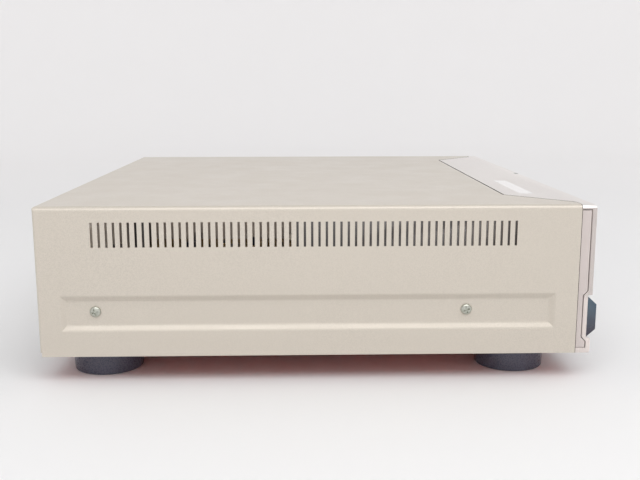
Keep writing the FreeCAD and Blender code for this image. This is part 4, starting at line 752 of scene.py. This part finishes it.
def board_resistors(resistors, pins, x, y):
    """Five resistors side by side, with their bent wires."""
    body = [(0, 0), (0.9, 0.1), (1.2, 0.5), (1.2, 1.3), (1.0, 1.7)]
    body += [(1.0, 4.5), (1.2, 4.9), (1.2, 5.7), (0.9, 6.1), (0, 6.2)]
    for k in range(5):
        line = y + RESISTOR_PITCH * k
        resistors.lathe(body, (x - 3.1, line, BOARD_TOP + 1.3), (1, 0, 0), 12)
        pins.box(about(x, 10.4), about(line, 0.5), on_board(1.1, 1.5))
        for side in (-1, 1):
            pins.box(about(x + side * 5.2, 0.5), about(line, 0.5), on_board(0, 1.5))


def board_parts():
    """What stands on the three flat boards besides the larger chips."""
    cans, films, sockets, pins, chips, resistors = (Shape() for _ in range(6))
    for x, y, radius, height in CANS:
        can(cans, x, y, radius, height)
    for x, y, wide, deep, high in FILMS:
        films.box(about(x, wide), about(y, deep), on_board(0, high), 0.8)
    for sizes in SOCKETS:
        board_socket(sockets, pins, *sizes)
    for sizes in CHIPS:
        board_chip(chips, pins, *sizes)
    for x, y, size in QUADS:
        for k in range(int(size - 2)):
            leg = k - size / 2 + 1.5
            pins.box(about(x + leg, 0.36), about(y, size + 2.2), on_board(0, 0.4))
            pins.box(about(x, size + 2.2), about(y + leg, 0.36), on_board(0, 0.4))
    for x, y in RESISTORS:
        board_resistors(resistors, pins, x, y)
    cans.piece("board_capacitors", "root", DETAIL["can_sleeve"])
    films.piece("board_film_capacitors", "root", DETAIL["film_box"])
    sockets.piece("board_connectors", "root", MATERIALS["acetal"], "acetal")
    pins.piece("board_pins", "root", MATERIALS["jack_plating"], "jack_plating")
    chips.piece("board_chips", "root", MATERIALS["chip_epoxy"], "chip_epoxy")
    resistors.piece("board_resistors", "root", DETAIL["ceramic"])
    large = Shape()
    can(large, -124.0, 186.0, 11.0, 35.0)
    large.piece("filter_can", "root", DETAIL["can_sleeve"], None, ["filter_capacitor"])


def mechanism():
    """Rubber ring on the turntable and the glass of the pickup's lens."""
    ring = [(8.8, -0.2), (12.6, -0.2), (12.6, 0.1), (12.4, 0.25), (9.0, 0.25), (8.8, 0.1), (8.8, -0.2)]
    Shape().lathe(ring, (0, DISC_Y, SEAT_Z)).lowered().piece(
        "turntable_ring", "turntable", MATERIALS["belt_rubber"], "belt_rubber")
    dome = [(0, 0.5), (0.8, 0.43), (1.5, 0.25), (2.1, 0), (2.1, -0.2), (0, -0.2)]
    Shape().lathe(dome, (0, LENS_Y, LENS_TOP), steps=40).lowered().piece(
        "lens_glass", "pickup", DETAIL["lens_glass"])


def repaint_faces():
    """Faces of CAD nodes that get another material: sawn ends, painted shade in the gaps and vent slots,
    bare steel, lenses.
    """
    seam, trapezoid_back = 10, 56
    vents_y, vents_z = (50, 362), (98, 118)
    inner_x, inner_y, middle_y = 203, (14, 389), 200
    lens_low = TOP - 5

    def gap_walls(x, y, z, normal):
        return y > seam and normal.y > 0.3 and abs(normal.z) < 0.5

    def cover_edge(x, y, z, normal):
        return y < trapezoid_back and normal.y < -0.3 and abs(normal.z) < 0.5

    def slot_walls(x, y, z, normal):
        in_vents = vents_y[0] < y < vents_y[1] and vents_z[0] < z < vents_z[1]
        return abs(x) > HALF - 5 and in_vents and abs(normal.x) < 0.4

    def chassis_inside(x, y, z, normal):
        faces_in = normal.z > 0.5 or x * normal.x < -100 or (y - middle_y) * normal.y < -100
        posts = abs(x) < inner_x and inner_y[0] < y < inner_y[1] and z > CHASSIS_FLOOR + 0.3
        return faces_in or posts

    # Painted shade on the gap walls behind the front, the cover's front edge and the walls of the vent
    # slots.
    gap = DETAIL["gap_shade"]
    # The sawn ends of the front panel, with their painted shade above the bar.
    repaint(nodes["front_panel"], DETAIL["sawn_aluminium_with_painted_shade"], lambda x, y, z, normal: abs(normal.x) > 0.95)
    repaint(nodes["front_panel"], gap, gap_walls)
    repaint(nodes["front_subframe"], gap, lambda x, y, z, normal: y > seam and normal.y > 0.9)
    repaint(nodes["base_chassis"], DETAIL["raw_steel"], chassis_inside)
    repaint(nodes["top_cover"], gap, cover_edge)
    repaint(nodes["top_cover"], gap, slot_walls)
    repaint(nodes["indicator_lenses"], DETAIL["mark"], lambda x, y, z, normal: z > lens_low)
    repaint(nodes["indicator_lenses"], DETAIL["standby_lamp"], lambda x, y, z, normal: z < lens_low)


repaint_faces()
feet()
cover_screws()
label()
signs()
display()
back()
transformer()
board_parts()
mechanism()

# Camera at the photograph's angle, and the studio, in metres

CAMERA_PLACE = (-0.788301, 0.007355, 0.209822)
CAMERA_ANGLES = (10.396, -1.266, -0.09)  # down, round and about its axis
CAMERA_LENS = 47.055  # on a film 36 mm wide


def place_camera():
    """The camera that a fit to the photographed cabinet's edges gave."""
    pitch, yaw, roll = (math.radians(a) for a in CAMERA_ANGLES)
    forward = Vector((math.cos(pitch) * math.cos(yaw), math.cos(pitch) * math.sin(yaw), -math.sin(pitch)))
    level = forward.cross(Vector((0, 0, 1))).normalized()
    upright = level.cross(forward)
    right = math.cos(roll) * level + math.sin(roll) * upright
    up = right.cross(forward)
    data = bpy.data.cameras.new("camera")
    data.sensor_width, data.lens = 36.0, CAMERA_LENS
    data.clip_start, data.clip_end = 0.01, 60.0
    camera = bpy.data.objects.new("camera", data)
    bpy.context.scene.collection.objects.link(camera)
    turn = Matrix((right, up, -forward)).transposed().to_4x4()
    camera.matrix_world = Matrix.Translation(CAMERA_PLACE) @ turn
    bpy.context.scene.camera = camera


def softbox(name, place, target, size, power, tint=(1.0, 1.0, 1.0)):
    """A rectangular area lamp that faces a point and doesn't show itself."""
    data = bpy.data.lights.new(name, "AREA")
    data.shape, data.size, data.size_y = "RECTANGLE", size[0], size[1]
    data.energy, data.color = power, tint
    lamp = bpy.data.objects.new(name, data)
    bpy.context.scene.collection.objects.link(lamp)
    lamp.visible_camera = False
    lamp.location = place
    lamp.rotation_mode = "QUATERNION"
    lamp.rotation_quaternion = (Vector(target) - Vector(place)).to_track_quat("-Z", "Y")


def studio():
    """Pale round sweep, overhead softbox, low lamp from the side, and a dim one behind the vents."""
    floor_r, bend, height, steps = 1700, 600, 2600, 12
    profile = [(0, 0), (floor_r, 0)]
    for k in range(1, steps + 1):
        a = math.radians(90 * k / steps)
        profile.append((floor_r + bend * math.sin(a), bend * (1 - math.cos(a))))
    profile.append((floor_r + bend, height))
    sweep = Shape().lathe(profile, (0, -FRONT_Y, 0), steps=96).loose("sweep")
    s = Surface("sweep", linear(238, 238, 238), roughness=0.7)
    s.shade(s.noise(1.5, 2), linear(234, 234, 235), 0.6)
    s.shade(s.distance(), linear(252, 251, 251), 1.0, 0.5, 1.6)
    sweep.data.materials.append(s.material)
    softbox("overhead", (-1.12, -0.3, 1.64), (0, 0, 0), (2.5, 1.1), 20.5)
    softbox("low", (-1.5, 0, 0.3), (-0.2, 0, 0), (0.6, 0.4), 0.5)
    softbox("inside", (-0.2, 0, 0.108), (0, 0, 0.1), (0.36, 0.02), 0.5, (1.0, 0.94, 0.9))
    world = bpy.data.worlds.new("world")
    world.use_nodes = True
    background = world.node_tree.nodes["Background"]
    background.inputs["Color"].default_value = (0.985, 0.985, 0.99, 1)
    background.inputs["Strength"].default_value = 0.66
    bpy.context.scene.world = world
    bpy.context.scene.view_settings.view_transform = "Standard"


place_camera()
studio()
